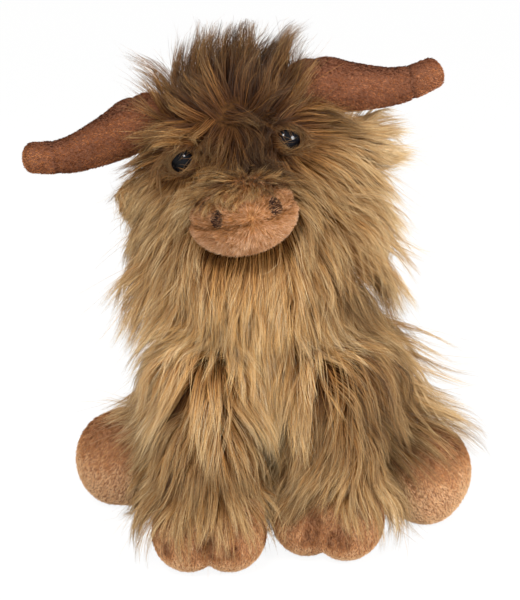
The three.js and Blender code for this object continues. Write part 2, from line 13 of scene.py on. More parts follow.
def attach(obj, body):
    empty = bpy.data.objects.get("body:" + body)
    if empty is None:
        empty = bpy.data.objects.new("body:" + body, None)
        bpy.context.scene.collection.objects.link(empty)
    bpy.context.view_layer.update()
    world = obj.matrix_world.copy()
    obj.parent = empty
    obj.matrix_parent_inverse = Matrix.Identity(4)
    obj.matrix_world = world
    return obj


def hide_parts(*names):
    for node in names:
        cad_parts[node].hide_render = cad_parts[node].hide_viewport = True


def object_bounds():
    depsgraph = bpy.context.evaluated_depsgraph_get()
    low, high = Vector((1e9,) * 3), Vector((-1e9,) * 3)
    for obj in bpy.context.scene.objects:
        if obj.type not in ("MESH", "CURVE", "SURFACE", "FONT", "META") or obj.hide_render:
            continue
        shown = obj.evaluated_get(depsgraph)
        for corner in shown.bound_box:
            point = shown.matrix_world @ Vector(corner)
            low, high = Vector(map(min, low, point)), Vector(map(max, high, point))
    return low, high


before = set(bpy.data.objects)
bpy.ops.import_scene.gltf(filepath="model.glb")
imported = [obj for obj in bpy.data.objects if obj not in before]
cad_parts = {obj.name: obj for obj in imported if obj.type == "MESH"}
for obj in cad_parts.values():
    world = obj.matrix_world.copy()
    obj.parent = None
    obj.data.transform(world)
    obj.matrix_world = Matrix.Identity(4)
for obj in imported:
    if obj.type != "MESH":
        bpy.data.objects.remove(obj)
cad_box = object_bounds()

MM = 0.001
UP = np.array([0.0, 0.0, 1.0])
ACROSS = np.array([1.0, 0.0, 0.0])
SIDES = {"left": 1, "right": -1}

# The camera: where it looks, how high it stands, how far away, and its lens
TARGET = np.array([-5.0, -20.0, 125.0])
CAMERA_ELEVATION = math.radians(16)
CAMERA_DISTANCE = 750.0
LENS = 90.0
SENSOR = 36.0
IMAGE = (520, 600)

# The forms, as in the part's source
NECK = np.array([1.5, 2.0, 118.0])
NECK_LEAN = math.radians(12)
DOME_R = 46.0
FLAT_CUT = 0.5
TORSO_SECTIONS = [
    (-FLAT_CUT, 50, 42, 12), (22, 58, 47, 12), (46, 61, 48, 12), (70, 65, 47, 11),
    (90, 61, 43, 8), (106, 49, 38, 4), (122, 35, 34, 2),
]
HEAD_SECTIONS = [
    (6, 56, 54, 1), (32, 64, 58, 0), (56, 59, 54, 0), (80, 51, 48, -1), (102, 41, 40, -1),
    (123, 27, 27, -1),
]
FORELOCK_RADII = (27, 17, 23)
MUZZLE_AT, MUZZLE_RADII, MUZZLE_PITCH = np.array([-2.0, -55, 59]), (25, 19, 17), math.radians(8)
EYE = {"aside": 26, "y": -40, "z": 88, "r": 6.2, "dome": 4.4, "mound_back": 12.5, "mound_r": 10.8}
EYE_AIM = np.array([0.42, -0.88, 0.16]) / np.linalg.norm([0.42, -0.88, 0.16])
HORN_FROM, HORN_LENGTH = 40, 65.5
HORN_SECTIONS = [
    (0, -3, 106, 11, 11), (0.12, -4, 104.6, 13.4, 12.6), (0.27, -5, 101.5, 12.4, 11.6),
    (0.46, -6, 98.6, 10.6, 10), (0.64, -7, 97, 9, 8.6), (0.81, -8, 98, 8, 7.8),
    (1, -9, 101, 7.4, 7.2),
]
HORN_TIP_SHARE = 0.75
HORN_BALL_R = 12.6
EAR_SECTIONS = [(50, 6, 72, 6, 5), (58, 7, 69.5, 12, 6.5), (65, 8, 66, 11.5, 6), (72, 9, 62, 7.5, 5)]
SHOULDER = (31, -38, 80)
SHOULDER_R = 17
SHOULDER_PAD, SHOULDER_PAD_RADII = (28, -28, 89), (20, 20, 14)  # the chest's pile backs onto the legs' tops
FRONT_LEG_SECTIONS = [(0, 19, 18), (0.5, 26, 24.5), (1, 27, 25.5), (1.5, 26, 24)]
FRONT_LEG_MIDDLE, FRONT_ANKLE = 30, 30
FRONT_REACH = {"left": 5, "right": 20}
FRONT_FOOT_TURN = {"left": -16, "right": 0}
HIP = (59, 6, 26)
HIP_R, HIND_R, HIND_LENGTH = 15.5, 25.5, 17
HIND_SPLAY = {"left": 22, "right": -36}
FRONT_FOOT = {"across": 18, "apart": 10, "along": 22.5, "up": 18.5, "ahead": 3, "ankle": (27, 23, 14),
              "ankle_at": 28}
HIND_FOOT = {"across": 22, "apart": 4, "along": 22, "up": 25.5, "ahead": 9, "ankle": (25, 15, 25),
             "ankle_at": 25}
TAIL_SECTIONS = [(62, 44, 6), (73, 40, 5.6), (83, 28, 5.2), (89, 14, 5)]
TUFT_SECTIONS = [(89, 15, 6.5), (96, 11, 9), (108, 9.8, 9), (121, 9.4, 6)]


# Small vector helpers

def unit(v):
    return v / np.maximum(np.linalg.norm(v, axis=-1, keepdims=True), 1e-9)


def dot(a, b):
    return (a * b).sum(-1, keepdims=True)


def smooth(t, low=0.0, high=1.0):
    t = np.clip((t - low) / (high - low), 0, 1)
    return t * t * (3 - 2 * t)


def falls(t, low, high):
    """1 up to low, 0 from high on."""
    return smooth(-t, -high, -low)


def turn(axis, angle):
    return np.array(Matrix.Rotation(angle, 3, Vector(axis)))


HEAD_TURN = turn((0, 1, 0), -NECK_LEAN)


def in_head(points):
    """From the head's own upright frame to the part's."""
    return np.asarray(points, float) @ HEAD_TURN.T + NECK


def head_point(at):
    """One point of the head's own frame, in the part's."""
    return in_head(np.array([at]))[0]


def to_head(points):
    """From the part's frame to the head's own."""
    return (points - NECK) @ HEAD_TURN


def eye_at(sign):
    """The middle of an eye, in the head's frame."""
    return np.array([sign * EYE["aside"], EYE["y"], EYE["z"]])


def wave(points, scale, seed):
    """A cheap smooth noise in -1..1: a few sines whose directions are fixed by seed."""
    rng = np.random.default_rng(seed)
    total = 0
    for _ in range(5):
        k = rng.normal(size=3) / scale
        total = total + np.sin(points @ k * 2.4 + rng.uniform(0, 6.28))
    return total / 3.2


# Forms

def catmull(keys, t):
    keys = np.asarray(keys, float)
    n = len(keys)
    p = np.clip(t, 0, 1) * (n - 1)
    i = np.clip(np.floor(p).astype(int), 0, n - 2)
    w = p - i
    before = np.vstack([2 * keys[:1] - keys[1:2], keys])
    after = np.vstack([keys, 2 * keys[-1:] - keys[-2:-1]])
    p0, p1, p2, p3 = before[i], keys[i], keys[i + 1], after[i + 2]
    a, b = 0.5 * (p2 - p0), 0.5 * (p3 - p1)
    w = w[:, None]
    return (2 * p1 - 2 * p2 + a + b) * w**3 + (-3 * p1 + 3 * p2 - 2 * a - b) * w**2 + a * w + p1


def ring_faces(rings, sides, last):
    """Faces round rings of vertices, closed by vertex 0 before them and by one last vertex."""
    ring = lambda k, j: 1 + k * sides + j % sides
    faces = []
    for j in range(sides):
        faces.append((0, ring(0, j + 1), ring(0, j)))
        faces.append((last, ring(rings - 1, j), ring(rings - 1, j + 1)))
        for k in range(rings - 1):
            faces.append((ring(k, j), ring(k, j + 1), ring(k + 1, j + 1), ring(k + 1, j)))
    return faces


def swell(points, widths, depths, across=ACROSS, cap=4.0, blunt=2, rings=40, sides=48, inset=0.0):
    """Oval sections along a curve, round at both ends: vertices and faces."""
    points = np.asarray(points, float)
    ts = np.linspace(0, 1, 400)
    line = catmull(points, ts)
    run = np.concatenate([[0], np.cumsum(np.linalg.norm(np.diff(line, axis=0), axis=1))])
    length = run[-1]
    rounding = max(cap - inset, 1)
    angles = (np.arange(8) + 0.5) / 8 * (math.pi / 2)
    ends = inset + rounding * (1 - np.cos(angles) ** (2 / blunt))
    share = np.sin(angles) ** (2 / blunt)
    start = inset + rounding
    middle = np.linspace(start, length - start, rings)
    stations = np.concatenate([ends, middle, (length - ends)[::-1]])
    shares = np.concatenate([share, np.ones(rings), share[::-1]])
    t = np.interp(stations, run, ts)
    centre = catmull(points, t)
    tangent = unit(catmull(points, np.minimum(t + 1e-3, 1)) - catmull(points, np.maximum(t - 1e-3, 0)))
    side = unit(across - dot(tangent, across) * tangent)
    deep = np.cross(tangent, side)
    a = np.maximum(catmull(np.c_[widths], t)[:, 0] - inset, 1) * shares
    b = np.maximum(catmull(np.c_[depths], t)[:, 0] - inset, 1) * shares
    theta = np.arange(sides) / sides * 2 * math.pi
    rim = (centre[:, None] + (a[:, None] * np.cos(theta))[..., None] * side[:, None]
           + (b[:, None] * np.sin(theta))[..., None] * deep[:, None])
    first = catmull(points, np.interp([inset], run, ts))
    last = catmull(points, np.interp([length - inset], run, ts))
    verts = np.vstack([first, rim.reshape(-1, 3), last])
    return verts, ring_faces(len(stations), sides, len(verts) - 1)


def ellipsoid(radii, origin, rotation=None, around=48, up=32):
    verts = [(0, 0, -1)]
    for k in range(1, up):
        lat = -math.pi / 2 + math.pi * k / up
        for j in range(around):
            lon = 2 * math.pi * j / around
            verts.append((math.cos(lat) * math.cos(lon), math.cos(lat) * math.sin(lon), math.sin(lat)))
    verts.append((0, 0, 1))
    faces = ring_faces(up - 1, around, len(verts) - 1)
    verts = np.array(verts) * radii
    if rotation is not None:
        verts = verts @ rotation.T
    return verts + origin, faces


def upright(sections, **options):
    """A swell up through sections of z, half width, half depth and y."""
    return swell([(0, y, z) for z, _, _, y in sections], [s[1] for s in sections],
                 [s[2] for s in sections], **options)


def torso_parts(inset):
    trunk = upright(TORSO_SECTIONS, cap=15, blunt=3, inset=inset)
    shoulders = [ellipsoid(SHOULDER_PAD_RADII, np.array(SHOULDER_PAD) * [sign, 1, 1])
                 for sign in SIDES.values()]
    return [trunk, ellipsoid([DOME_R - inset] * 3, NECK)] + shoulders


def head_parts(inset, forelock):
    verts, faces = upright(HEAD_SECTIONS, cap=16, inset=inset)
    lock, lock_faces = ellipsoid(np.array(FORELOCK_RADII) - forelock, (0, -4, 112 - 0.4 * forelock))
    parts = [(in_head(verts), faces), (in_head(lock), lock_faces)]
    for sign in SIDES.values():
        seat = eye_at(sign) - EYE_AIM * [sign, 1, 1] * EYE["mound_back"]
        mound, mound_faces = ellipsoid([EYE["mound_r"]] * 3, seat)
        parts.append((in_head(mound), mound_faces))
    return parts


def horn_parts(sign):
    s = HORN_SECTIONS
    points = [(sign * (HORN_FROM + share * HORN_LENGTH), y, z) for share, y, z, _, _ in s]
    verts, faces = swell(points, [r[3] for r in s], [r[4] for r in s], across=UP, cap=5,
                         rings=64, sides=40)
    ball, ball_faces = ellipsoid([HORN_BALL_R] * 3, points[0])
    return [(in_head(verts), faces), (in_head(ball), ball_faces)]


def front_leg_frame(side):
    sign = SIDES[side]
    shoulder = np.array([sign * SHOULDER[0], SHOULDER[1], SHOULDER[2]], float)
    ankle = np.array([sign * FRONT_LEG_MIDDLE, SHOULDER[1] - FRONT_REACH[side], FRONT_ANKLE], float)
    return shoulder, ankle


def front_leg_parts(side, inset):
    shoulder, ankle = front_leg_frame(side)
    s = FRONT_LEG_SECTIONS
    points = [shoulder + (ankle - shoulder) * share for share, _, _ in s]
    leg = swell(points, [r[1] for r in s], [r[2] for r in s], cap=4, inset=inset)
    return [leg, ellipsoid([SHOULDER_R - inset * 0.7] * 3, shoulder)]


def hind_leg_frame(side):
    sign = SIDES[side]
    splay = math.radians(HIND_SPLAY[side])
    hip = np.array([sign * HIP[0], HIP[1], HIP[2]], float)
    onwards = np.array([sign * math.cos(splay), -math.sin(splay), 0])
    seam = hip + onwards * HIND_LENGTH
    seam[2] = HIND_R - FLAT_CUT
    return hip, onwards, seam


def hind_leg_parts(side, inset):
    hip, onwards, seam = hind_leg_frame(side)
    points = [hip, (hip + seam) / 2, seam, seam + onwards * HIND_LENGTH]
    radii = [HIP_R - 1, HIND_R, HIND_R, HIND_R]
    return [swell(points, radii, radii, across=UP, cap=4, inset=inset),
            ellipsoid([HIP_R - inset * 0.6] * 3, hip)]


def hoof_parts(origin, facing, foot):
    rotation = turn((0, 0, 1), facing)
    place = lambda p: np.array(p, float) @ rotation.T + [origin[0], origin[1], 0]
    parts = [ellipsoid((foot["across"], foot["along"], foot["up"]),
                       place((sign * foot["apart"], foot["ahead"], foot["up"] - FLAT_CUT)), rotation)
             for sign in SIDES.values()]
    return parts + [ellipsoid(foot["ankle"], place((0, 0, foot["ankle_at"])), rotation)]


def chain_parts(sections, inset):
    radii = [r[2] for r in sections]
    return [swell([(0, y, z) for y, z, _ in sections], radii, radii, cap=3, inset=inset, sides=24)]


# Materials

def linear(hexcode):
    value = [int(hexcode[i:i + 2], 16) / 255 for i in (0, 2, 4)]
    return tuple(c / 12.92 if c <= 0.04045 else ((c + 0.055) / 1.055) ** 2.4 for c in value) + (1.0,)


class Shader:
    """A material's node tree, with short calls for the nodes used here."""

    def __init__(self, name, roughness, **sockets):
        self.material = bpy.data.materials.new(name)
        self.material.use_nodes = True
        self.tree = self.material.node_tree
        self.surface = self.tree.nodes["Principled BSDF"]
        self.surface.inputs["Roughness"].default_value = roughness
        for socket, value in sockets.items():
            self.surface.inputs[socket.replace("_", " ")].default_value = value

    def node(self, kind, **values):
        made = self.tree.nodes.new("ShaderNode" + kind)
        for key, value in values.items():
            if key.startswith("in_"):
                made.inputs[key[3:].replace("_", " ")].default_value = value
            else:
                setattr(made, key, value)
        return made

    def link(self, a, b):
        self.tree.links.new(a, b)

    def feed(self, socket, value):
        if isinstance(value, float):
            socket.default_value = value
        else:
            self.link(value, socket)

    def noise(self, scale, detail=2.0, rough=0.5, stretch=None):
        made = self.node("TexNoise", in_Scale=scale, in_Detail=detail, in_Roughness=rough)
        at = self.node("TexCoord").outputs["Object"]
        if stretch:
            mapping = self.node("Mapping")
            mapping.inputs["Scale"].default_value = stretch
            self.link(at, mapping.inputs["Vector"])
            at = mapping.outputs["Vector"]
        self.link(at, made.inputs["Vector"])
        return made.outputs["Fac"]

    def ramp(self, factor, stops):
        made = self.node("ValToRGB")
        elements = made.color_ramp.elements
        while len(elements) < len(stops):
            elements.new(0.5)
        for element, (at, colour) in zip(elements, stops):
            element.position = at
            element.color = linear(colour) if isinstance(colour, str) else (colour,) * 3 + (1.0,)
        self.link(factor, made.inputs["Fac"])
        return made.outputs["Color"]

    def mix(self, factor, a, b, kind="MIX"):
        made = self.node("Mix", data_type="RGBA", blend_type=kind)
        for index, value in ((0, factor), (6, a), (7, b)):
            self.feed(made.inputs[index], value)
        return made.outputs[2]

    def math(self, operation, *values):
        made = self.node("Math", operation=operation)
        for socket, value in zip(made.inputs, values):
            self.feed(socket, value)
        return made.outputs[0]

    def colour(self, source):
        self.link(source, self.surface.inputs["Base Color"])

    def bump(self, height, strength, distance):
        made = self.node("Bump", in_Strength=strength, in_Distance=distance)
        self.link(height, made.inputs["Height"])
        self.link(made.outputs["Normal"], self.surface.inputs["Normal"])


def evenly(colours):
    """Colours as the stops of a ramp, from 0 to 1."""
    return [(k / (len(colours) - 1), colour) for k, colour in enumerate(colours)]


def strand_material(name, gold, ash, roughness=0.75, sheen=0.0, specular=0.06,
                    root_shade_tints=("cbb4a2", "ecdfd4")):
    """Hair or nap. OFBake's v runs from root to tip. Its u below a half is hair whose tip turns
    ash, above a half hair that stays gold, and within each half it runs from dark to light. Along v
    the colour is multiplied by the root shade tints, darker towards the root: painted shade deep in the
    pile."""
    s = Shader(name, roughness, Specular_IOR_Level=specular, Sheen_Weight=sheen, Sheen_Roughness=0.5)
    split = s.node("SeparateXYZ")
    s.link(s.node("UVMap", uv_map="OFBake").outputs["UV"], split.inputs[0])
    kind, along = split.outputs["X"], split.outputs["Y"]
    tone = s.math("FRACT", s.math("MULTIPLY", kind, 2.0))
    stays = s.math("MULTIPLY", s.math("GREATER_THAN", kind, 0.5), 0.8)
    turns = s.math("MULTIPLY", s.math("SUBTRACT", 1.0, stays), s.ramp(along, [(0.1, 0.0), (0.6, 1.0)]))
    body = s.mix(turns, s.ramp(tone, evenly(gold)), s.ramp(tone, evenly(ash)))
    # Painted shade: each hair darker towards its root, where shade falls deep in the pile
    shade = s.ramp(along, [(0.0, root_shade_tints[0]), (0.5, root_shade_tints[1]), (0.85, "ffffff")])
    s.colour(s.mix(1.0, body, shade, "MULTIPLY"))
    return s.material


LONG_PILE = strand_material(
    "long_pile", gold=("331e0c", "794f25", "bf8945", "e7b66d", "fad89a"),
    ash=("382511", "7b5e39", "bd9c6c", "e4ca9d", "f9eacd"),
    roughness=0.5, sheen=0.03, specular=0.2, root_shade_tints=("b39e8a", "e2d5c8"))
SHORT_NAP = strand_material(
    "short_nap", gold=("2c160b", "683c22", "aa7046", "d9a270", "f6d0a2"),
    ash=("332015", "6e4a33", "b08258", "deb183", "f8dab4"))
HORN_NAP = strand_material(
    "horn_nap", gold=("281208", "5f3419", "a0653a", "cf935c", "ecba88"),
    ash=("2b1710", "663d2b", "a36c4d", "d09a76", "f0c6a6"))
MUZZLE_NAP = strand_material(
    "muzzle_nap", gold=("4a2a12", "8a5a30", "c18a54", "e3b07a", "f8d3a4"),
    ash=("50331b", "90653e", "bf9470", "dfb795", "f8ddc0"))


def backing_material(name, dark, light, scale):
    s = Shader(name, 0.95, Specular_IOR_Level=0.05)
    grain = s.noise(scale, 4, 0.6)
    s.colour(s.ramp(grain, [(0.3, dark), (0.7, light)]))
    s.bump(s.noise(scale * 2.2, 3), 0.6, 0.0006)
    return s.material


# Dark brown backing: partly its own colour, partly painted shade where it shows deep in the pile and in
# partings
SHADED_PILE_BACKING = backing_material("pile_backing", "2a190b", "51351c", 420)
HORN_BASE = backing_material("horn_cloth", "4e3022", "724a36", 900)
HOOF_BASE = backing_material("hoof_cloth", "704c36", "976a4a", 900)
MUZZLE_BASE = backing_material("muzzle_cloth", "7d5632", "a87b50", 900)


def thread_material():
    s = Shader("dark_thread", 0.8, Specular_IOR_Level=0.15)
    strands = s.noise(700, 3, 0.7, stretch=(1, 1, 0.5))
    s.colour(s.ramp(strands, [(0.4, "1c0f08"), (0.55, "3a2114"), (0.7, "6e4a30")]))
    s.bump(strands, 0.5, 0.0003)
    return s.material


def eye_material():
    s = Shader("eye_plastic", 0.06, Specular_IOR_Level=0.16)
    depth = s.noise(140, 2)
    s.colour(s.ramp(depth, [(0.3, "050506"), (0.8, "0c0d12")]))
    s.bump(s.noise(260, 2), 0.05, 0.0003)
    return s.material


def washer_material():
    s = Shader("washer_plastic", 0.4)
    s.colour(s.ramp(s.noise(90, 3), [(0.3, "d6d6d2"), (0.7, "e6e6e3")]))
    s.bump(s.noise(700, 2), 0.1, 0.0002)
    return s.material


THREAD = thread_material()
EYE_PLASTIC = eye_material()
WASHER_PLASTIC = washer_material()


# Meshes

def mesh_object(name, verts, faces, material, smooth_shading=True):
    """From arrays in millimetres. Faces is a list, or (loops, sizes) as arrays."""
    mesh = bpy.data.meshes.new(name)
    if isinstance(faces, tuple):
        loops, sizes = faces
        mesh.vertices.add(len(verts))
        mesh.vertices.foreach_set("co", (np.asarray(verts) * MM).astype(np.float32).ravel())
        mesh.loops.add(len(loops))
        mesh.loops.foreach_set("vertex_index", loops.astype(np.int32))
        mesh.polygons.add(len(sizes))
        mesh.polygons.foreach_set("loop_start", (np.cumsum(sizes) - sizes).astype(np.int32))
        mesh.update(calc_edges=True)
    else:
        mesh.from_pydata((np.asarray(verts) * MM).tolist(), [], faces)
    if smooth_shading:
        mesh.shade_smooth()
    obj = bpy.data.objects.new(name, mesh)
    bpy.context.scene.collection.objects.link(obj)
    mesh.materials.append(material)
    return obj


def joined(parts):
    verts, faces, base = [], [], 0
    for v, f in parts:
        verts.append(v)
        faces += [tuple(i + base for i in face) for face in f]
        base += len(v)
    return np.vstack(verts), faces


def merged(name, parts, material, voxel, rounds=0):
    """The outer surface of several overlapping closed forms, as one even mesh."""
    verts, faces = joined(parts)
    rough = mesh_object(name + "_rough", verts, faces, material)
    remesh = rough.modifiers.new("remesh", "REMESH")
    remesh.mode = "VOXEL"
    remesh.voxel_size = voxel * MM
    if rounds:
        even = rough.modifiers.new("even", "SMOOTH")
        even.factor, even.iterations = 0.5, rounds
    graph = bpy.context.evaluated_depsgraph_get()
    mesh = bpy.data.meshes.new_from_object(rough.evaluated_get(graph))
    bpy.data.objects.remove(rough)
    mesh.name = name
    return mesh


def skin(name, parts, material, voxel=2.0, rounds=6):
    """One closed skin round several overlapping closed forms, flat on the floor."""
    mesh = merged(name, parts, material, voxel, rounds)
    co = points_of(mesh)
    co[:, 2] = np.maximum(co[:, 2], 0)
    mesh.materials.clear()
    mesh.materials.append(material)
    mesh.shade_smooth()
    set_points(mesh, co)
    obj = bpy.data.objects.new(name, mesh)
    bpy.context.scene.collection.objects.link(obj)
    return obj


def stands_for(obj, body, nodes):
    """A piece that rides on a body in the place of nodes of the source."""
    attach(obj, body)
    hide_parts(*nodes)


def set_points(mesh, co):
    mesh.vertices.foreach_set("co", (co * MM).astype(np.float32).ravel())
    mesh.update()


def points_of(mesh):
    co = np.zeros(len(mesh.vertices) * 3, np.float32)
    mesh.vertices.foreach_get("co", co)
    return co.reshape(-1, 3).astype(float) / MM


def triangles_of(mesh):
    mesh.calc_loop_triangles()
    tri = np.zeros(len(mesh.loop_triangles) * 3, np.int32)
    mesh.loop_triangles.foreach_get("vertices", tri)
    normal = np.zeros(len(mesh.vertices) * 3, np.float32)
    mesh.vertex_normals.foreach_get("vector", normal)
    return tri.reshape(-1, 3), normal.reshape(-1, 3).astype(float)


def areas_of(obj):
    co = points_of(obj.data)
    tri, _ = triangles_of(obj.data)
    a, b, c = co[tri[:, 0]], co[tri[:, 1]], co[tri[:, 2]]
    return np.linalg.norm(np.cross(b - a, c - a), axis=1) / 2


def scatter(obj, count, rng, keep=None):
    """Random points on an object's surface with its smooth normals; keep() gives a share 0..1."""
    co = points_of(obj.data)
    tri, normal = triangles_of(obj.data)
    area = areas_of(obj)
    pick = rng.choice(len(tri), count, p=area / area.sum())
    u, v = rng.random(count), rng.random(count)
    over = u + v > 1
    u[over], v[over] = 1 - u[over], 1 - v[over]
    w = 1 - u - v
    bary = lambda arr: (arr[tri[pick, 0]] * w[:, None] + arr[tri[pick, 1]] * u[:, None]
                        + arr[tri[pick, 2]] * v[:, None])
    points, normals = bary(co), unit(bary(normal))
    if keep is not None:
        kept = rng.random(count) < keep(points, normals)
        points, normals = points[kept], normals[kept]
    return points, normals


OBSTACLE_VOXEL = 1.8


class Obstacles:
    """The outer surface of several objects, each grown by some mm, for keeping hair outside."""

    def __init__(self, grown):
        parts = []
        for obj, grow in grown:
            tri, normal = triangles_of(obj.data)
            parts.append((points_of(obj.data) + unit(normal) * grow, tri.tolist()))
        verts, faces = parts[0]
        if len(parts) > 1:
            mesh = merged("obstacles", parts, SHADED_PILE_BACKING, OBSTACLE_VOXEL)
            verts, faces = points_of(mesh), triangles_of(mesh)[0].tolist()
            bpy.data.meshes.remove(mesh)
        self.tree = BVHTree.FromPolygons(verts.tolist(), faces)

    def near(self, points):
        """Nearest point, its normal and the signed distance, below zero inside."""
        found = [self.tree.find_nearest(p) for p in points.tolist()]
        at = np.array([f[0] for f in found])
        normal = np.array([f[1] for f in found])
        distance = np.array([f[3] for f in found])
        inside = ((points - at) * normal).sum(1) < 0
        distance[inside] *= -1
        return at, normal, distance

    def cast(self, origin, direction):
        return self.tree.ray_cast(Vector(origin), Vector(direction))


# Camera geometry, because the hair is combed in the photograph's frame

FORWARD = np.array([0, math.cos(CAMERA_ELEVATION), -math.sin(CAMERA_ELEVATION)])
CAMERA_UP = np.array([0, math.sin(CAMERA_ELEVATION), math.cos(CAMERA_ELEVATION)])
CAMERA_AT = TARGET - FORWARD * CAMERA_DISTANCE
FOCAL_PIXELS = LENS / SENSOR * IMAGE[1]


def ray_through(x, y):
    return unit(FORWARD * FOCAL_PIXELS + ACROSS * (x - IMAGE[0] / 2) - CAMERA_UP * (y - IMAGE[1] / 2))


def pixels_of(points):
    away = points - CAMERA_AT
    depth = away @ FORWARD
    return np.stack([IMAGE[0] / 2 + FOCAL_PIXELS * (away @ ACROSS) / depth,
                     IMAGE[1] / 2 - FOCAL_PIXELS * (away @ CAMERA_UP) / depth], -1)


def spot(pixel, middle, size):
    """1 at a place in the photograph's frame, and less and less round it."""
    return np.exp(-(((pixel - middle) / size) ** 2).sum(1))


# Hair

class Comb:
    """How a coat lies. A stroke is (x, y, to x, to y, lift): seen in the camera's frame, the hair
    that grows at the first point ends at the second, and lift is how far, in mm, its end stands off
    the skin. Away from every stroke the hair follows rest(), which gives flow, length and lift."""

    def __init__(self, obj, strokes, rest, reach=12.0):
        self.rest, self.reach = rest, reach
        tree = Obstacles([(obj, 0)])
        middle = points_of(obj.data).mean(0)
        rows = []
        for x, y, tx, ty, lift in strokes:
            ray = ray_through(x, y)
            hit = tree.cast(CAMERA_AT, ray)
            if hit[0] is None:
                beside = CAMERA_AT + ray * ((middle - CAMERA_AT) @ ray)
                at, normal = (found[0] for found in tree.near(beside[None])[:2])
            else:
                at, normal = np.array(hit[0]), np.array(hit[1])
            pixel = (at - CAMERA_AT) @ FORWARD / FOCAL_PIXELS
            pull = (ACROSS * (tx - x) - CAMERA_UP * (ty - y)) * pixel
            stand = np.clip(unit(pull) @ normal, 0, 0.95)
            length = np.linalg.norm(pull) * 1.06 + 3
            rows.append(np.concatenate([at, normal, unit(pull), [length, lift, stand]]))
        self.rows = np.array(rows).reshape(-1, 12)

    def at(self, points, normals):
        """Direction along the skin, length, lift and how upright the hair grows at each point."""
        flow, length, lift = self.rest(points, normals)
        stand = np.zeros(len(points))
        weight_rest = 0.1
        if len(self.rows):
            away = np.linalg.norm(points[:, None] - self.rows[None, :, :3], axis=2)
            facing = np.clip(normals @ self.rows[:, 3:6].T + 0.1, 0, 1)
            w = np.exp(-((away / self.reach) ** 2)) * facing
            total = w.sum(1, keepdims=True) + weight_rest
            flow = (w @ self.rows[:, 6:9] + flow * weight_rest) / total
            length = (w @ self.rows[:, 9] + length * weight_rest) / total[:, 0]
            lift = (w @ self.rows[:, 10] + lift * weight_rest) / total[:, 0]
            stand = (w @ self.rows[:, 11]) / total[:, 0]
        flow = flow - dot(flow, normals) * normals
        return unit(flow), length, lift, stand


GUIDE_STEPS, DROOP, HAIR_KNOTS = 12, 0.15, 6
# How far, in mm, a lock keeps off the skins at its root, how much more at its tip, and off the floor
CLEAR, CLEAR_MORE, FLOOR_CLEAR = 0.8, 1.6, 0.6


def grow_guides(roots, normals, comb, tree, rng, height=(3.0, 11.0), scatter_deg=8, flying=0.07,
                mingle=2.5):
    """One path per lock, stepped along the comb, outside every skin. Mingle is how far off, in mm,
    a lock may read the comb, so that neighbours cross."""
    n, steps = len(roots), GUIDE_STEPS
    shift = rng.normal(0, 1, (n, 3)) * (mingle(roots) if callable(mingle) else mingle)
    flow, length, lift, upright = comb.at(roots + shift, normals)
    length = length * rng.uniform(0.82, 1.16, n)
    flies = rng.random(n) < flying
    lift = lift * rng.uniform(0.65, 1.3, n) + np.where(flies, rng.uniform(4, 12, n), 0)
    sway = np.radians(rng.normal(0, scatter_deg, n))
    curl = rng.normal(0, 0.22, n)
    tall = rng.uniform(*height, n)
    stand = np.clip(np.maximum(lift / length, upright), 0, 0.93)
    p = roots.copy()
    d = unit(flow * 0.6 + normals * 0.8)
    path = [p]
    for k in range(steps):
        s = (k + 1) / steps
        _, face, distance = tree.near(p)
        t = comb.at(p + shift, unit(face))[0]
        bend = sway + curl * s
        t = t * np.cos(bend)[:, None] + np.cross(face, t) * np.sin(bend)[:, None]
        want = tall * smooth(np.array(s), 0, 0.4) + lift * (1 - stand) * s ** 1.2
        rise = np.clip((want - distance) / 6.0, stand - 1.0, 1.0)
        aim = t * np.sqrt(1 - stand**2)[:, None] + normals * stand[:, None]
        aim = unit(aim + face * rise[:, None] - UP * (DROOP * s))
        d = unit(d * 0.55 + aim * 0.45)
        p = p + d * (length / steps)[:, None]
        at, face, distance = tree.near(p)
        low = CLEAR + CLEAR_MORE * s
        short = distance < low
        p[short] = at[short] + face[short] * low
        p[:, 2] = np.maximum(p[:, 2], FLOOR_CLEAR)
        path.append(p)
    return np.stack(path, 1)


def nearest(points, among, count):
    """Indices of and distances to the nearest few of the others."""
    kd = KDTree(len(among))
    for i, p in enumerate(among.tolist()):
        kd.insert(p, i)
    kd.balance()
    found = [kd.find_n(p, count) for p in points.tolist()]
    return tuple(np.array([[f[item] for f in row] for row in found]) for item in (1, 2))


def grow_wisps(guides, roots, rng, gather=0.4, apart=1.6):
    """Thinner paths between the locks' own: each blends the nearest locks and leans to one."""
    index, away = nearest(roots, guides[:, 0], 3)
    weight = np.exp(-((away / away[:, 1:2].mean()) ** 2)) + 1e-6
    shapes = guides - guides[:, :1]
    ends = unit(shapes[:, -1])
    alike = np.clip((ends[index] * ends[index[:, :1]]).sum(-1) * 1.6 - 0.6, 0, 1)
    weight *= alike
    weight /= weight.sum(1, keepdims=True)
    wisps = roots[:, None] + (shapes[index] * weight[..., None, None]).sum(1)
    along = np.linspace(0, 1, guides.shape[1])
    hold = gather * rng.uniform(0.3, 1.5, len(roots))
    wisps += (guides[index[:, 0]] - wisps) * (hold[:, None] * smooth(along)[None])[..., None]
    wisps += rng.normal(0, apart, (len(roots), 1, 3)) * (along ** 1.5)[None, :, None]
    return wisps, index[:, 0]


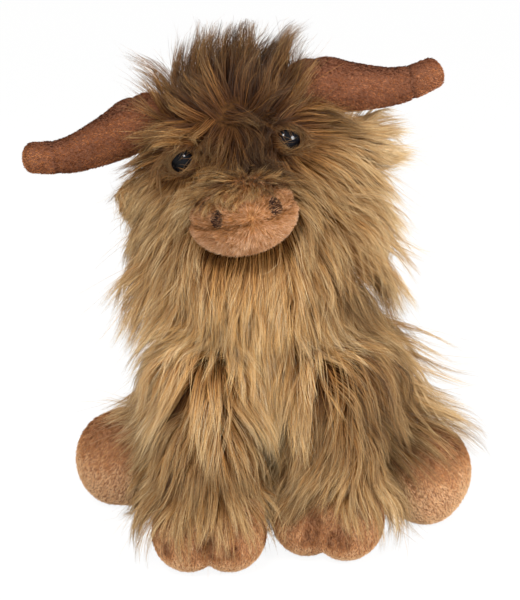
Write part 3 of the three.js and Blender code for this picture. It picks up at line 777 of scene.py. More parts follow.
def grow_hairs(wisps, roots, normals, rng, gather=0.82, fuzz=0.5, strays=0.06, stray_reach=6.0,
               shortest=0.45):
    """Hairs that close on the nearest wisp towards its tip. Gives them, their wisps and the strays."""
    index, _ = nearest(roots, wisps[:, 0], 1)
    mine = index[:, 0]
    n, steps = len(roots), wisps.shape[1] - 1
    stray = rng.random(n) < strays
    share = shortest + (1 - shortest) * rng.beta(2.4, 1.2, n)
    s = share[:, None] * np.linspace(0, 1, HAIR_KNOTS)[None]
    x = s * steps
    i = np.minimum(x.astype(int), steps - 1)
    w = (x - i)[..., None]
    spine = wisps[mine[:, None], i] * (1 - w) + wisps[mine[:, None], i + 1] * w
    hold = gather * rng.uniform(0.8, 1.12, n) * np.where(stray, 0.3, 1.0)
    pull = (hold[:, None] * smooth(s, 0.05, 1.0))[..., None]
    offset = roots - wisps[mine, 0]
    side = unit(np.cross(normals, rng.normal(size=(n, 3))))
    other = np.cross(normals, side)
    phase = rng.uniform(0, 6.28, (n, 2))
    waves = rng.uniform(2.5, 6, (n, 1))
    sway = (np.sin(waves * s + phase[:, :1]) - np.sin(phase[:, :1])) * fuzz * s
    lean = (np.sin(waves * 1.3 * s + phase[:, 1:]) - np.sin(phase[:, 1:])) * fuzz * s
    drift = np.where(stray[:, None], rng.normal(0, stray_reach, (n, 3)) + normals * stray_reach * 0.6,
                     rng.normal(0, 0.35, (n, 3)))
    points = (spine + offset[:, None] * (1 - pull) + side[:, None] * sway[..., None]
              + other[:, None] * lean[..., None] + drift[:, None] * (s[..., None] ** 2))
    return points, mine, stray


BOX_LOW, BOX_HIGH = (np.array(corner) / MM for corner in cad_box)
REACH_PAST_BOX, REACH_FREE, HAIR_FLOOR = 13.0, 0.4, 0.4  # a reach in mm, the share that isn't bent, mm


def inside_box(points):
    """Hair ends bent back so that none reaches far past the CAD model's box or under the floor."""
    free = REACH_PAST_BOX * REACH_FREE
    rest = REACH_PAST_BOX - free
    over = points - (BOX_HIGH + free)
    points = np.where(over > 0, BOX_HIGH + free + rest * np.tanh(over / rest), points)
    under = BOX_LOW - free - points
    points = np.where(under > 0, BOX_LOW - free - rest * np.tanh(under / rest), points)
    points[..., 2] = np.maximum(points[..., 2], HAIR_FLOOR)
    return points


SHORTEST_TRIMMED = 0.18


def trimmed(points, inside, rng):
    """Hairs cut off where they first come inside(points, rng); those that start there are dropped."""
    n, k, _ = points.shape
    within = inside(points, rng)
    first = np.where(within.any(1), within.argmax(1), k)
    share = np.where(first < k, (first - rng.uniform(0.25, 0.95, n)) / (k - 1), 1.0)
    kept = share > SHORTEST_TRIMMED
    x = share[:, None] * np.arange(k)[None]
    i = np.clip(x.astype(int), 0, k - 2)
    w = (x - i)[..., None]
    rows = np.arange(n)[:, None]
    cut = points[rows, i] * (1 - w) + points[rows, i + 1] * w
    return cut[kept], kept


def tube_mesh(name, points, radius, tone, material, rng, taper=0.75):
    """Three-sided hairs that taper to a point, as one mesh with its OFBake map."""
    n, k, _ = points.shape
    tangent = unit(np.gradient(points, axis=1))
    ref = unit(rng.normal(size=(n, 3)))[:, None]
    u = unit(np.cross(tangent, ref))
    v = np.cross(tangent, u)
    s = np.linspace(0, 1, k)
    r = (radius[:, None] * (1 - s[None] ** 1.6 * taper))[:, :-1]
    rings = []
    for j in range(3):
        a = 2 * math.pi * j / 3
        rings.append(points[:, :-1] + r[..., None] * (u[:, :-1] * math.cos(a) + v[:, :-1] * math.sin(a)))
    ring = np.stack(rings, 2).reshape(n, (k - 1) * 3, 3)
    verts = np.concatenate([ring, points[:, -1:]], 1)
    each = (k - 1) * 3 + 1
    quads = [(3 * q + j, 3 * q + (j + 1) % 3, 3 * q + 3 + (j + 1) % 3, 3 * q + 3 + j)
             for q in range(k - 2) for j in range(3)]
    tips = [(3 * (k - 2) + j, 3 * (k - 2) + (j + 1) % 3, each - 1) for j in range(3)]
    pattern = np.array([i for f in quads + tips for i in f])
    sizes = np.array([4] * len(quads) + [3] * len(tips))
    loops = (pattern[None] + np.arange(n)[:, None] * each).ravel()
    obj = mesh_object(name, verts.reshape(-1, 3), (loops, np.tile(sizes, n)), material)
    along = np.concatenate([np.repeat(s[:-1], 3), [1.0]])
    uv = np.empty((n, len(pattern), 2), np.float32)
    uv[..., 0] = tone[:, None]
    uv[..., 1] = 0.01 + 0.98 * along[pattern][None]
    layer = obj.data.uv_layers.new(name="OFBake")
    layer.data.foreach_set("uv", uv.ravel())
    return obj


TRIANGLES_EACH = 190000


def coat(name, body, points, radius, tone, material, rng):
    """Hair in as many meshes as the size of one allows, cut into bands from the floor up."""
    order = np.argsort(points[:, 0, 2])
    points, radius, tone = points[order], radius[order], tone[order]
    each = 6 * (points.shape[1] - 2) + 3
    bands = max(1, math.ceil(len(points) * each / TRIANGLES_EACH))
    for b, part in enumerate(np.array_split(np.arange(len(points)), bands)):
        obj = tube_mesh(f"{name}_{b + 1}" if bands > 1 else name, points[part], radius[part],
                        tone[part], material, rng)
        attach(obj, body)


def tone_to_map(tone, golden):
    """OFBake's u for hairs from dark 0 to light 1, which stay gold or turn ash."""
    return np.clip(tone, 0.02, 0.98) * 0.49 + np.where(golden, 0.505, 0.002)


# Skins

PILE_DEPTH = 9.0
EAR_INSET = {"left": 9.0, "right": 12.0}
LEG_PILE_DEPTH = 8.0
MOUTH_DEPTH, MOUTH_WIDTH, HORN_SEAM_DEPTH, HORN_SEAM_WIDTH = 1.7, 1.8, 0.5, 1.2
skins = {}


def add_skin(key, body, parts, material, nodes, slot, fill, **options):
    obj = skin(key, parts, material, **options)
    stands_for(obj, body, nodes)
    skins[key] = obj


def add_leg(leg, parts, ankle, facing, foot, rounds):
    add_skin(f"{leg}_skin", leg, parts, SHADED_PILE_BACKING, [f"{leg}_cover", f"{leg}_stuffing"],
             "long_pile", fill=0.75)
    add_skin(f"{leg}_toes", leg, hoof_parts(ankle, math.radians(facing), foot), HOOF_BASE,
             [f"{leg}_hoof"], "short_pile", fill=0.8, voxel=1.3, rounds=rounds)


add_skin("torso_skin", "torso", torso_parts(PILE_DEPTH), SHADED_PILE_BACKING,
         ["torso_cover", "torso_stuffing", "pellet_pouch"], "long_pile", fill=0.8, voxel=2.2)
add_skin("head_skin", "head", head_parts(PILE_DEPTH, 11), SHADED_PILE_BACKING,
         ["head_cover", "head_stuffing"], "long_pile", fill=0.85, voxel=2.2)
for side, sign in SIDES.items():
    add_leg(f"front_leg_{side}", front_leg_parts(side, LEG_PILE_DEPTH), front_leg_frame(side)[1],
            180 + FRONT_FOOT_TURN[side], FRONT_FOOT, 8)
    add_leg(f"hind_leg_{side}", hind_leg_parts(side, LEG_PILE_DEPTH), hind_leg_frame(side)[2],
            -90 * sign - sign * HIND_SPLAY[side], HIND_FOOT, 14)

muzzle_verts, muzzle_faces = ellipsoid(MUZZLE_RADII, MUZZLE_AT, turn((1, 0, 0), MUZZLE_PITCH),
                                        around=96, up=64)
add_skin("muzzle", "head", [(in_head(muzzle_verts), muzzle_faces)], MUZZLE_BASE,
         ["muzzle_upper_panel", "muzzle_lower_panel", "muzzle_stuffing"], "muzzle_pile", fill=0.8,
         voxel=1.0, rounds=2)
for side, sign in SIDES.items():
    add_skin(f"horn_{side}_cloth", f"horn_{side}", horn_parts(sign), HORN_BASE,
             [f"horn_cover_{side}", f"horn_tip_{side}", f"horn_stuffing_{side}"], "horn_pile", fill=0.85,
             voxel=1.2, rounds=2)
    s = EAR_SECTIONS
    middles = [(sign * (x - EAR_INSET[side] * k / 3), y, z) for k, (x, y, z, _, _) in enumerate(s)]
    verts, faces = swell(middles, [r[3] * 0.7 for r in s], [r[4] * 0.5 for r in s], across=UP,
                         cap=4, sides=32)
    add_skin(f"ear_{side}_skin", f"ear_{side}", [(in_head(verts), faces)], SHADED_PILE_BACKING,
             [f"ear_{side}"], "long_pile", fill=0.3, voxel=1.2)
add_skin("tail_core", "tail", chain_parts(TAIL_SECTIONS, 1.5) + chain_parts(TUFT_SECTIONS, 3.5),
         SHADED_PILE_BACKING, ["tail_cord", "tail_tuft"], "long_pile", fill=0.7, voxel=1.2)


def crease(obj, at, across, depth, width):
    """A seam drawn in along the plane through at, square to across."""
    co = points_of(obj.data)
    _, normal = triangles_of(obj.data)
    off = (co - at) @ across
    co -= unit(normal) * (depth * np.exp(-((off / width) ** 2)))[:, None]
    set_points(obj.data, co)


MOUTH_BELOW, MOUTH_SLOPE = -2.5, math.radians(8)
MOUTH_AT = head_point(MUZZLE_AT - [0, 0, MOUTH_BELOW])
MOUTH_ACROSS = HEAD_TURN @ np.array([0, -math.sin(MOUTH_SLOPE), math.cos(MOUTH_SLOPE)])
crease(skins["muzzle"], MOUTH_AT, MOUTH_ACROSS, MOUTH_DEPTH, MOUTH_WIDTH)
HORN_SEAM_X = HORN_FROM + HORN_TIP_SHARE * HORN_LENGTH
for side, sign in SIDES.items():
    seam_at = head_point([sign * HORN_SEAM_X, 0, 0])
    crease(skins[f"horn_{side}_cloth"], seam_at, HEAD_TURN @ ACROSS, HORN_SEAM_DEPTH, HORN_SEAM_WIDTH)

# Eyes: a smooth dome on its shank, in rings of a radius and a height along the eye's aim
EYE_SIDES, SHANK_BOTTOM, EYE_SUNK = 40, -13, 1.15
EYE_BACK = [(1.9, SHANK_BOTTOM), (1.9, -0.4), (5.7, -0.4), (6.1, -0.15)]
for side, sign in SIDES.items():
    aim = EYE_AIM * [sign, 1, 1]
    middle = eye_at(sign) - aim * EYE_SUNK
    angle = np.linspace(0, math.pi / 2, 20)[:-1]
    rows = EYE_BACK + list(zip(EYE["r"] * np.cos(angle) ** 0.9, EYE["dome"] * np.sin(angle)))
    side_axis = unit(np.cross(aim, UP))
    up_axis = np.cross(side_axis, aim)
    verts = [middle + aim * SHANK_BOTTOM]
    for r, h in rows:
        for j in range(EYE_SIDES):
            a = 2 * math.pi * j / EYE_SIDES
            verts.append(middle + aim * h + (side_axis * math.cos(a) + up_axis * math.sin(a)) * r)
    verts.append(middle + aim * EYE["dome"])
    faces = [face[:1] + face[:0:-1] for face in ring_faces(len(rows), EYE_SIDES, len(verts) - 1)]
    eye = mesh_object(f"eye_{side}_dome", in_head(np.array(verts)), faces, EYE_PLASTIC)
    stands_for(eye, "head", [f"eye_{side}"])
    skins[f"eye_{side}"] = eye
    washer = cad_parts[f"eye_washer_{side}"]
    washer.data.materials.clear()
    washer.data.materials.append(WASHER_PLASTIC)


# Coats

DENSITY = 1.0
HAIR_RADIUS = 0.105
FUR_DEPTH = 7.5  # how far other pieces' fur keeps a coat off their skins
ROOT_SUNK = 1.5  # how far inside what a coat lies on a root may be
LOCK_TONES, WISP_TONES, HAIR_TONES, STRAY_TONE = 0.06, 0.05, 0.08, 0.1
LIMBS = [f"{leg}_{side}" for leg in ("front_leg", "hind_leg") for side in SIDES]
HEAD_SKINS = ["head_skin", "muzzle", "horn_left_cloth", "horn_right_cloth", "eye_left", "eye_right"]


def around(own, others, depth=FUR_DEPTH):
    """What a coat lies on: its own body's skins as they are, and the others with their fur on."""
    return Obstacles([(skins[name], 0) for name in own] + [(skins[name], depth) for name in others])


def hanging(length, lift, outwards, middle):
    """Hair that simply hangs, a little away from the middle."""
    def rest(points, normals):
        n = len(points)
        out = unit(points * [1, 1, 0] - [middle[0], middle[1], 0])
        return out * outwards - UP, np.full(n, float(length)), np.full(n, float(lift))
    return rest


def combed(direction, length, lift):
    """Hair that is all combed one way."""
    def rest(points, normals):
        n = len(points)
        return np.tile(unit(direction), (n, 1)), np.full(n, float(length)), np.full(n, float(lift))
    return rest


def fur(name, body, skin_name, comb, lies_on, hairs, wisps, locks, tone_of, seed, keep=None, drop=None,
        guide_options=None, wisp_options=None, hair_options=None):
    """One coat of locks, wisps and hairs. Keep says where roots may be, drop where hairs are cut."""
    rng = np.random.default_rng(seed)
    obj = skins[skin_name]

    def rooted(count):
        points, normals = scatter(obj, count, rng, keep)
        clear = lies_on.near(points)[2] > -ROOT_SUNK
        return points[clear], normals[clear]

    lock_roots, lock_normals = rooted(locks)
    guides = grow_guides(lock_roots, lock_normals, comb, lies_on, rng, **(guide_options or {}))
    wisp_roots, _ = rooted(wisps)
    paths, lock = grow_wisps(guides, wisp_roots, rng, **(wisp_options or {}))
    roots, normals = rooted(int(hairs * DENSITY))
    points, wisp, stray = grow_hairs(paths, roots, normals, rng, **(hair_options or {}))
    tone, gold = tone_of(points[:, 0], normals)
    tone = (tone + rng.normal(0, LOCK_TONES, len(guides))[lock][wisp]
            + rng.normal(0, WISP_TONES, len(paths))[wisp])
    tone = tone + rng.normal(0, HAIR_TONES, len(points)) + STRAY_TONE * stray
    u = tone_to_map(tone, rng.random(len(points)) < gold)
    thick = HAIR_RADIUS * rng.uniform(0.75, 1.25, len(points)) * np.where(stray, 0.75, 1.0)
    points = inside_box(points)
    if drop is not None:
        points, kept = trimmed(points, drop, rng)
        thick, u = thick[kept], u[kept]
    coat(name, body, points, thick, u, LONG_PILE, rng)


# The head's strokes. Left and right in the notes between strokes are the photograph's.
HEAD_STROKES = [
    # the crown, standing up in a fan over the parting
    (176, 104, 168, 28, 30), (186, 98, 178, 30, 24), (198, 92, 196, 28, 24), (212, 88, 206, 26, 24),
    (228, 86, 228, 22, 24), (244, 88, 249, 10, 26), (258, 90, 264, 12, 26), (270, 94, 286, 24, 28),
    (282, 100, 314, 34, 28), (288, 108, 334, 58, 16), (170, 104, 172, 14, 34), (204, 100, 203, 22, 16),
    (248, 96, 255, 4, 22), (268, 104, 276, 16, 20), (292, 112, 346, 72, 12), (160, 114, 144, 92, 9),
    (196, 114, 172, 74, 8), (216, 114, 196, 62, 8), (232, 110, 228, 58, 8), (250, 110, 258, 58, 8),
    (266, 112, 286, 64, 8), (282, 116, 320, 82, 8), (230, 116, 190, 112, 4), (246, 118, 276, 124, 4),
    # over the left brow, past the left eye and down the left cheek
    (214, 120, 168, 98, 5), (198, 124, 146, 112, 6), (182, 134, 128, 128, 6), (168, 150, 116, 148, 7),
    (162, 164, 126, 176, 6), (160, 182, 136, 210, 5), (168, 196, 144, 242, 5), (158, 216, 138, 258, 5),
    (176, 178, 160, 218, 3), (184, 206, 158, 262, 3), (160, 240, 132, 284, 8), (166, 262, 108, 308, 28),
    (172, 284, 82, 322, 46), (186, 274, 156, 328, 8), (164, 274, 86, 306, 46),
    # the fringe, down between the eyes to either side of the muzzle
    (226, 120, 200, 136, 4), (208, 134, 204, 160, 3), (222, 134, 226, 172, 3), (200, 154, 194, 196, 2),
    (214, 160, 204, 206, 2), (194, 186, 186, 238, 2), (198, 214, 178, 270, 3), (246, 118, 252, 142, 3),
    (240, 146, 232, 202, 5), (254, 148, 256, 202, 5), (262, 120, 280, 148, 3), (272, 146, 298, 204, 4),
    (266, 160, 284, 206, 5), (228, 166, 212, 208, 5), (246, 168, 244, 204, 5), (286, 172, 308, 226, 5),
    (300, 200, 316, 258, 6), (302, 226, 322, 284, 4), (192, 198, 186, 246, 8), (194, 216, 188, 262, 7),
    (293, 188, 298, 238, 9),
    # the right side, blown outwards
    (296, 122, 352, 108, 6), (316, 130, 384, 110, 14), (312, 142, 392, 132, 16), (318, 154, 404, 154, 22),
    (322, 168, 404, 174, 24), (328, 184, 396, 194, 24), (312, 186, 346, 240, 5), (334, 202, 396, 222, 26),
    (314, 210, 350, 274, 5), (340, 220, 408, 240, 30), (322, 232, 360, 296, 8), (346, 240, 414, 262, 34),
    (334, 262, 382, 320, 14), (352, 256, 420, 288, 38), (346, 272, 432, 318, 40), (326, 270, 362, 336, 10),
    (348, 286, 442, 336, 42),
    # under the chin
    (206, 248, 196, 324, 4), (212, 268, 206, 356, 6), (230, 268, 236, 362, 6), (250, 270, 246, 362, 6),
    (270, 266, 270, 354, 6), (288, 256, 302, 344, 5), (190, 262, 172, 346, 6), (312, 268, 338, 348, 8),
]


def head_rest(points, normals):
    local = to_head(points)
    crown = smooth(local[:, 2], 94, 110)
    out = unit(local * [1, 1, 0])
    hang = out * 0.2 - UP
    stand = UP + out * 0.3
    flow = hang * (1 - crown)[:, None] + stand * crown[:, None]
    return flow, 38 - 10 * crown, 6 + 12 * crown


EYES_AT = [head_point(eye_at(sign)) for sign in SIDES.values()]
# Openings in the hair, in pixels of the photograph's frame: half sizes, the eyes' slants, and the
# muzzle's shift from the point below
EYE_OPENING = np.array([12.2, 7.6])
EYE_SLANTS = [math.radians(33), math.radians(-50)]
MUZZLE_OPENING = np.array([46.0, 34])
MUZZLE_OPENING_SHIFT = np.array([-1.5, 3.0])
MUZZLE_FRONT = head_point([-2, -70, 60])
HORN_ROOT = (50, -4, 104)
EYE_BARE_R, HORN_BARE_R, MUZZLE_BARE_MORE = 5.5, 8, (-4.5, 14, -4)


def covers_face(points, rng):
    """Where hair would hide an eye, or the front of the muzzle."""
    pixel = pixels_of(points)
    n = len(points)
    hidden = np.zeros(points.shape[:2], bool)
    for at, slant in zip(EYES_AT, EYE_SLANTS):
        turned = (pixel - pixels_of(at[None])[0]) @ turn((0, 0, 1), slant)[:2, :2]
        d = np.linalg.norm(turned / EYE_OPENING, axis=-1)
        hidden |= (d < 1) & (points[..., 1] < -10) & (rng.random(n) < 0.93)[:, None]
    centre = pixels_of(MUZZLE_FRONT[None])[0] + MUZZLE_OPENING_SHIFT
    rel = ((pixel - centre) @ turn((0, 0, 1), -NECK_LEAN)[:2, :2]) / MUZZLE_OPENING
    d = np.linalg.norm(rel, axis=-1)
    ragged = rng.uniform(0.8, 1.06, n)[:, None]
    over_top = (rel[..., 1] < -0.3) & (d > 0.8)
    over = rng.random(n)[:, None] < np.where(over_top, 0.7, 0.985)
    return hidden | ((d < ragged) & (points[..., 1] < -40) & over)


def on_head(points, normals):
    """No hair grows where the muzzle, an eye or a horn is sewn on."""
    local = to_head(points)
    q = (local - MUZZLE_AT) / (np.array(MUZZLE_RADII) + MUZZLE_BARE_MORE)
    keep = (np.linalg.norm(q, axis=1) > 1).astype(float)
    for sign in SIDES.values():
        keep *= np.linalg.norm(local - (eye_at(sign) + [0, 4, 0]), axis=1) > EYE_BARE_R
        keep *= np.linalg.norm(local - np.array(HORN_ROOT) * [sign, 1, 1], axis=1) > HORN_BARE_R
    return keep


# Where the head's colour changes and where shade and light are painted on it, in the photograph's
# frame: middle and half size of a patch, or the span, in pixels across or down, over which a change
# comes in or fades
BETWEEN_EYES = (256, 166), (20, 30)
BESIDE_EYE = (165, 180), (30, 30)
CHEEK_SHADE = (334, 268), (22, 34)
BROW_ENDS, CHEEK_ACROSS, CHEEK_DOWN, FACE_ENDS = (285, 330), (300, 350), (225, 285), (290, 320)
PARTING = (240, 116), (34, 16)
UNDER_CHIN = (245, 264), (60, 16)


def head_tone(points, normals):
    pixel = pixels_of(points)
    across, down = pixel.T
    local = to_head(points)
    front = smooth(-points[:, 1], 5, 30)
    tone = 0.53 + 0.1 * wave(points, 20, 1)
    # Painted shade between the eyes, under the forelock
    tone -= 0.42 * spot(pixel, *BETWEEN_EYES) * front
    # Painted shade over the brow and crown, which is also made more gold
    brow = smooth(local[:, 2], 74, 94) * falls(across, *BROW_ENDS)
    tone -= 0.37 * brow
    tone -= 0.08 * spot(pixel, *BESIDE_EYE) * front
    # Paler on the right cheek: partly the fur's own ash colour, partly painted light
    tone += 0.12 * smooth(across, *CHEEK_ACROSS) * falls(down, *CHEEK_DOWN)
    # Painted shade under the right cheek
    tone -= 0.26 * spot(pixel, *CHEEK_SHADE) * front
    tone += 0.06 * falls(local[:, 2], 15, 50) * front * falls(across, *FACE_ENDS)
    gold = 0.14 + 0.45 * falls(local[:, 2], 20, 55) * front * falls(across, *FACE_ENDS)
    return tone, gold + 0.45 * brow


def over_parting(points):
    """Locks along the parting and under the chin cross one another."""
    pixel = pixels_of(points)
    return (4.0 + 9.0 * spot(pixel, *PARTING) + 8.0 * spot(pixel, *UNDER_CHIN))[:, None]


fur("head_coat", "head", "head_skin", Comb(skins["head_skin"], HEAD_STROKES, head_rest),
    around(HEAD_SKINS, ["torso_skin"] + [f"{limb}_skin" for limb in LIMBS[:2]]),
    hairs=46000, wisps=6000, locks=1300, tone_of=head_tone, seed=1, keep=on_head, drop=covers_face,
    guide_options={"height": (4, 12), "mingle": over_parting, "scatter_deg": 12},
    wisp_options={"apart": 2.0}, hair_options={"gather": 0.76, "fuzz": 0.7, "strays": 0.12})

CHIN_STROKES = [
    (202, 256, 188, 326, 9), (218, 264, 210, 342, 11), (234, 268, 232, 350, 13), (250, 268, 252, 352, 13),
    (266, 266, 272, 342, 11), (284, 258, 298, 334, 9), (226, 288, 222, 352, 13), (262, 288, 266, 350, 13),
]
CHIN = (244, 284), (48, 30)


def on_chin(points, normals):
    return spot(pixels_of(points), *CHIN) * smooth(-points[:, 1], 10, 30) * on_head(points, normals)


def chin_tone(points, normals):
    return 0.62 + 0.12 * wave(points, 14, 13), np.full(len(points), 0.6)


fur("chin_coat", "head", "head_skin", Comb(skins["head_skin"], CHIN_STROKES, head_rest),
    around(HEAD_SKINS, ["torso_skin"]), hairs=52000, wisps=7000, locks=2400, tone_of=chin_tone, seed=25,
    keep=on_chin, drop=covers_face,
    guide_options={"height": (5, 14), "mingle": 5.0, "scatter_deg": 14, "flying": 0.12},
    wisp_options={"apart": 2.2}, hair_options={"gather": 0.66, "fuzz": 0.8, "strays": 0.08})


def on_bridge(points, normals):
    return smooth(to_head(points)[:, 2] - MUZZLE_AT[2], 9, 13)


def bridge_tone(points, normals):
    return 0.28 + 0.2 * smooth(-to_head(points)[:, 1], 58, 70), np.full(len(points), 0.35)


BRIDGE_STROKES = [
    (210, 190, 200, 206, 2), (224, 184, 216, 200, 2), (240, 181, 236, 196, 2), (256, 179, 258, 194, 2),
    (270, 179, 278, 194, 2), (282, 184, 292, 200, 2),
]
fur("bridge_coat", "head", "muzzle",
    Comb(skins["muzzle"], BRIDGE_STROKES, combed([0, -1.0, -0.3], 9, 2), reach=8.0),
    around(["muzzle"], []), hairs=12000, wisps=1700, locks=500, tone_of=bridge_tone, seed=23,
    keep=on_bridge,
    guide_options={"height": (1.5, 5), "scatter_deg": 14}, hair_options={"strays": 0.03, "stray_reach": 3})


LASHES = 620


def lashes(side, seed):
    """Short hairs round each eye, which lean over its rim."""
    sign = SIDES[side]
    rng = np.random.default_rng(seed)
    aim = HEAD_TURN @ (EYE_AIM * [sign, 1, 1])
    middle = head_point(eye_at(sign))
    first = unit(np.cross(aim, UP))
    second = np.cross(first, aim)
    n = int(LASHES * (1))
    turned = rng.uniform(0, 2 * math.pi, n)
    out = first * np.cos(turned)[:, None] + second * np.sin(turned)[:, None]
    roots = middle - aim * 1.5 + out * rng.uniform(6.3, 8.5, (n, 1))
    below = smooth(-(out @ UP), -0.4, 0.4)[:, None]
    hang = -UP * rng.uniform(0.3, 0.7, (n, 1)) * (1.2 - below) + ACROSS * sign * 0.35
    lean = unit(-out * rng.uniform(0.15, 0.75, (n, 1)) * below + hang + rng.normal(0, 0.2, (n, 3)))
    reach = rng.uniform(5, 10, (n, 1))
    s = np.linspace(0, 1, 5)[None, :, None]
    rise = aim * (6.3 * np.sqrt(s)) * rng.uniform(0.75, 1.1, (n, 1))[:, None]
    points = roots[:, None] + rise + (lean * reach)[:, None] * s**1.4
    points, kept = trimmed(points, covers_face, rng)
    tone = 0.2 + rng.normal(0, 0.08, len(points))
    coat(f"lashes_{side}", "head", points, np.full(len(points), HAIR_RADIUS),
         tone_to_map(tone, rng.random(len(points)) < 0.5), LONG_PILE, rng)


for side, sign in SIDES.items():
    lashes(side, 81 + sign)

# The torso's strokes. Left and right in the notes between strokes are the photograph's.
TORSO_STROKES = [
    # the front, puffed out under the chin and over the tops of the legs
    (206, 306, 204, 386, 18), (232, 308, 230, 396, 19), (262, 308, 266, 396, 19), (286, 306, 306, 384, 18),
    (204, 330, 203, 446, 23), (226, 334, 222, 440, 22), (250, 338, 250, 434, 16), (272, 334, 286, 440, 20),
    (300, 328, 330, 440, 24), (200, 350, 198, 466, 23), (222, 358, 217, 462, 22), (248, 366, 250, 446, 14),
    (276, 360, 292, 464, 20), (312, 350, 336, 470, 24), (188, 348, 168, 456, 22), (330, 346, 364, 460, 24),
    (248, 400, 246, 462, 10), (272, 398, 266, 458, 10),
    # the left side
    (190, 312, 180, 368, 4), (184, 332, 168, 388, 4), (176, 354, 138, 412, 12), (168, 376, 108, 412, 18),
    (176, 322, 164, 372, 3), (174, 342, 156, 392, 5), (162, 398, 96, 436, 20), (186, 366, 166, 440, 16),
    (172, 410, 128, 456, 14), (166, 386, 98, 408, 18),
    # the right side, swept outwards
    (316, 310, 352, 364, 16), (340, 312, 444, 350, 34), (354, 326, 474, 368, 44), (362, 346, 486, 394, 50),
    (372, 366, 498, 414, 50), (378, 384, 506, 430, 50), (334, 338, 384, 400, 18), (346, 360, 420, 424, 24),
    (382, 404, 512, 446, 44), (374, 420, 490, 474, 32), (332, 388, 362, 460, 12), (386, 394, 510, 436, 48),
    (366, 336, 478, 386, 42), (376, 356, 496, 404, 50),
]


# Where the torso's colour changes and where shade and light are painted on it, in the photograph's
# frame, as for the head
CHEST, BELLY, SIDE_SHADE = ((250, 330), (75, 60)), ((250, 385), (70, 30)), ((172, 350), (26, 18))
SHADE_RIGHT_FROM = (296, 350)


def torso_tone(points, normals):
    pixel = pixels_of(points)
    front = smooth(-points[:, 1], -5, 25)
    # The chest more golden and lighter: partly the fur's own colour, partly painted light
    glow = spot(pixel, *CHEST) * front
    # Painted shade on the right, under the head
    right = smooth(pixel[:, 0], *SHADE_RIGHT_FROM) * front
    low = spot(pixel, *BELLY) * front
    tone = 0.53 + 0.13 * wave(points, 18, 2) + 0.19 * glow + 0.1 * low - 0.2 * right
    # Painted shade in darker patches on the right
    tone -= 0.22 * smooth(wave(points, 9, 15), 0.1, 0.7) * right
    tone -= 0.18 * spot(pixel, *SIDE_SHADE) * front
    return tone, 0.16 + 0.5 * glow


fur("torso_coat", "torso", "torso_skin",
    Comb(skins["torso_skin"], TORSO_STROKES, hanging(40, 8, 0.35, (0, 5))),
    around(["torso_skin"], ["head_skin"] + [f"{limb}_skin" for limb in LIMBS], 4.5),
    hairs=44000, wisps=5200, locks=1150, tone_of=torso_tone, seed=2,
    guide_options={"height": (4, 12), "scatter_deg": 11, "mingle": 3.5},
    wisp_options={"apart": 2.0}, hair_options={"gather": 0.78, "fuzz": 0.7, "strays": 0.12})

# The front legs' strokes, and below them the ears' and the hind legs', by the cow's own sides
LEG_STROKES = {
    "right": [
        (158, 424, 132, 484, 9), (182, 430, 166, 496, 6), (214, 436, 206, 504, 5), (244, 436, 254, 504, 5),
        (154, 470, 130, 536, 9), (176, 480, 154, 562, 7), (200, 486, 190, 556, 4), (232, 492, 232, 558, 4),
        (252, 494, 260, 550, 5), (160, 512, 142, 574, 8), (180, 510, 168, 570, 4), (214, 512, 208, 568, 3),
    ],
    "left": [
        (288, 430, 280, 490, 5), (318, 432, 312, 496, 5), (352, 430, 354, 498, 6), (384, 430, 404, 500, 9),
        (340, 470, 296, 498, 6), (318, 496, 288, 536, 5), (350, 498, 348, 562, 5), (378, 478, 392, 564, 8),
        (392, 490, 408, 570, 9), (326, 512, 318, 562, 4), (366, 508, 372, 566, 4),
    ],
}


# Painted shade in the slit between the front legs: its middle and half width across, and where it comes in
# down, in pixels
SLIT_SHADE_ACROSS, SLIT_SHADE_HALF, SLIT_SHADE_FROM = 275, 13, (420, 440)


def leg_tone(points, normals):
    """Painted shade in the slit between the front legs."""
    tone = 0.44 + 0.12 * wave(points, 16, 3) - 0.04 * falls(points[:, 2], 25, 50)
    across, down = pixels_of(points).T
    # Painted shade in the slit between the front legs
    tone -= 0.38 * np.exp(-(((across - SLIT_SHADE_ACROSS) / SLIT_SHADE_HALF) ** 2)) * smooth(down, *SLIT_SHADE_FROM)
    return tone, np.full(len(points), 0.2)


def over_shoulder(points, normals):
    """Forwards over the top of the leg, then down."""
    top = smooth(points[:, 2], 58, 78)[:, None]
    flow = np.array([0, -1.0, -0.35]) * top - (UP + [0, 0.3, 0]) * (1 - top)
    return flow, 36 - 14 * top[:, 0], 6 - 5 * top[:, 0]


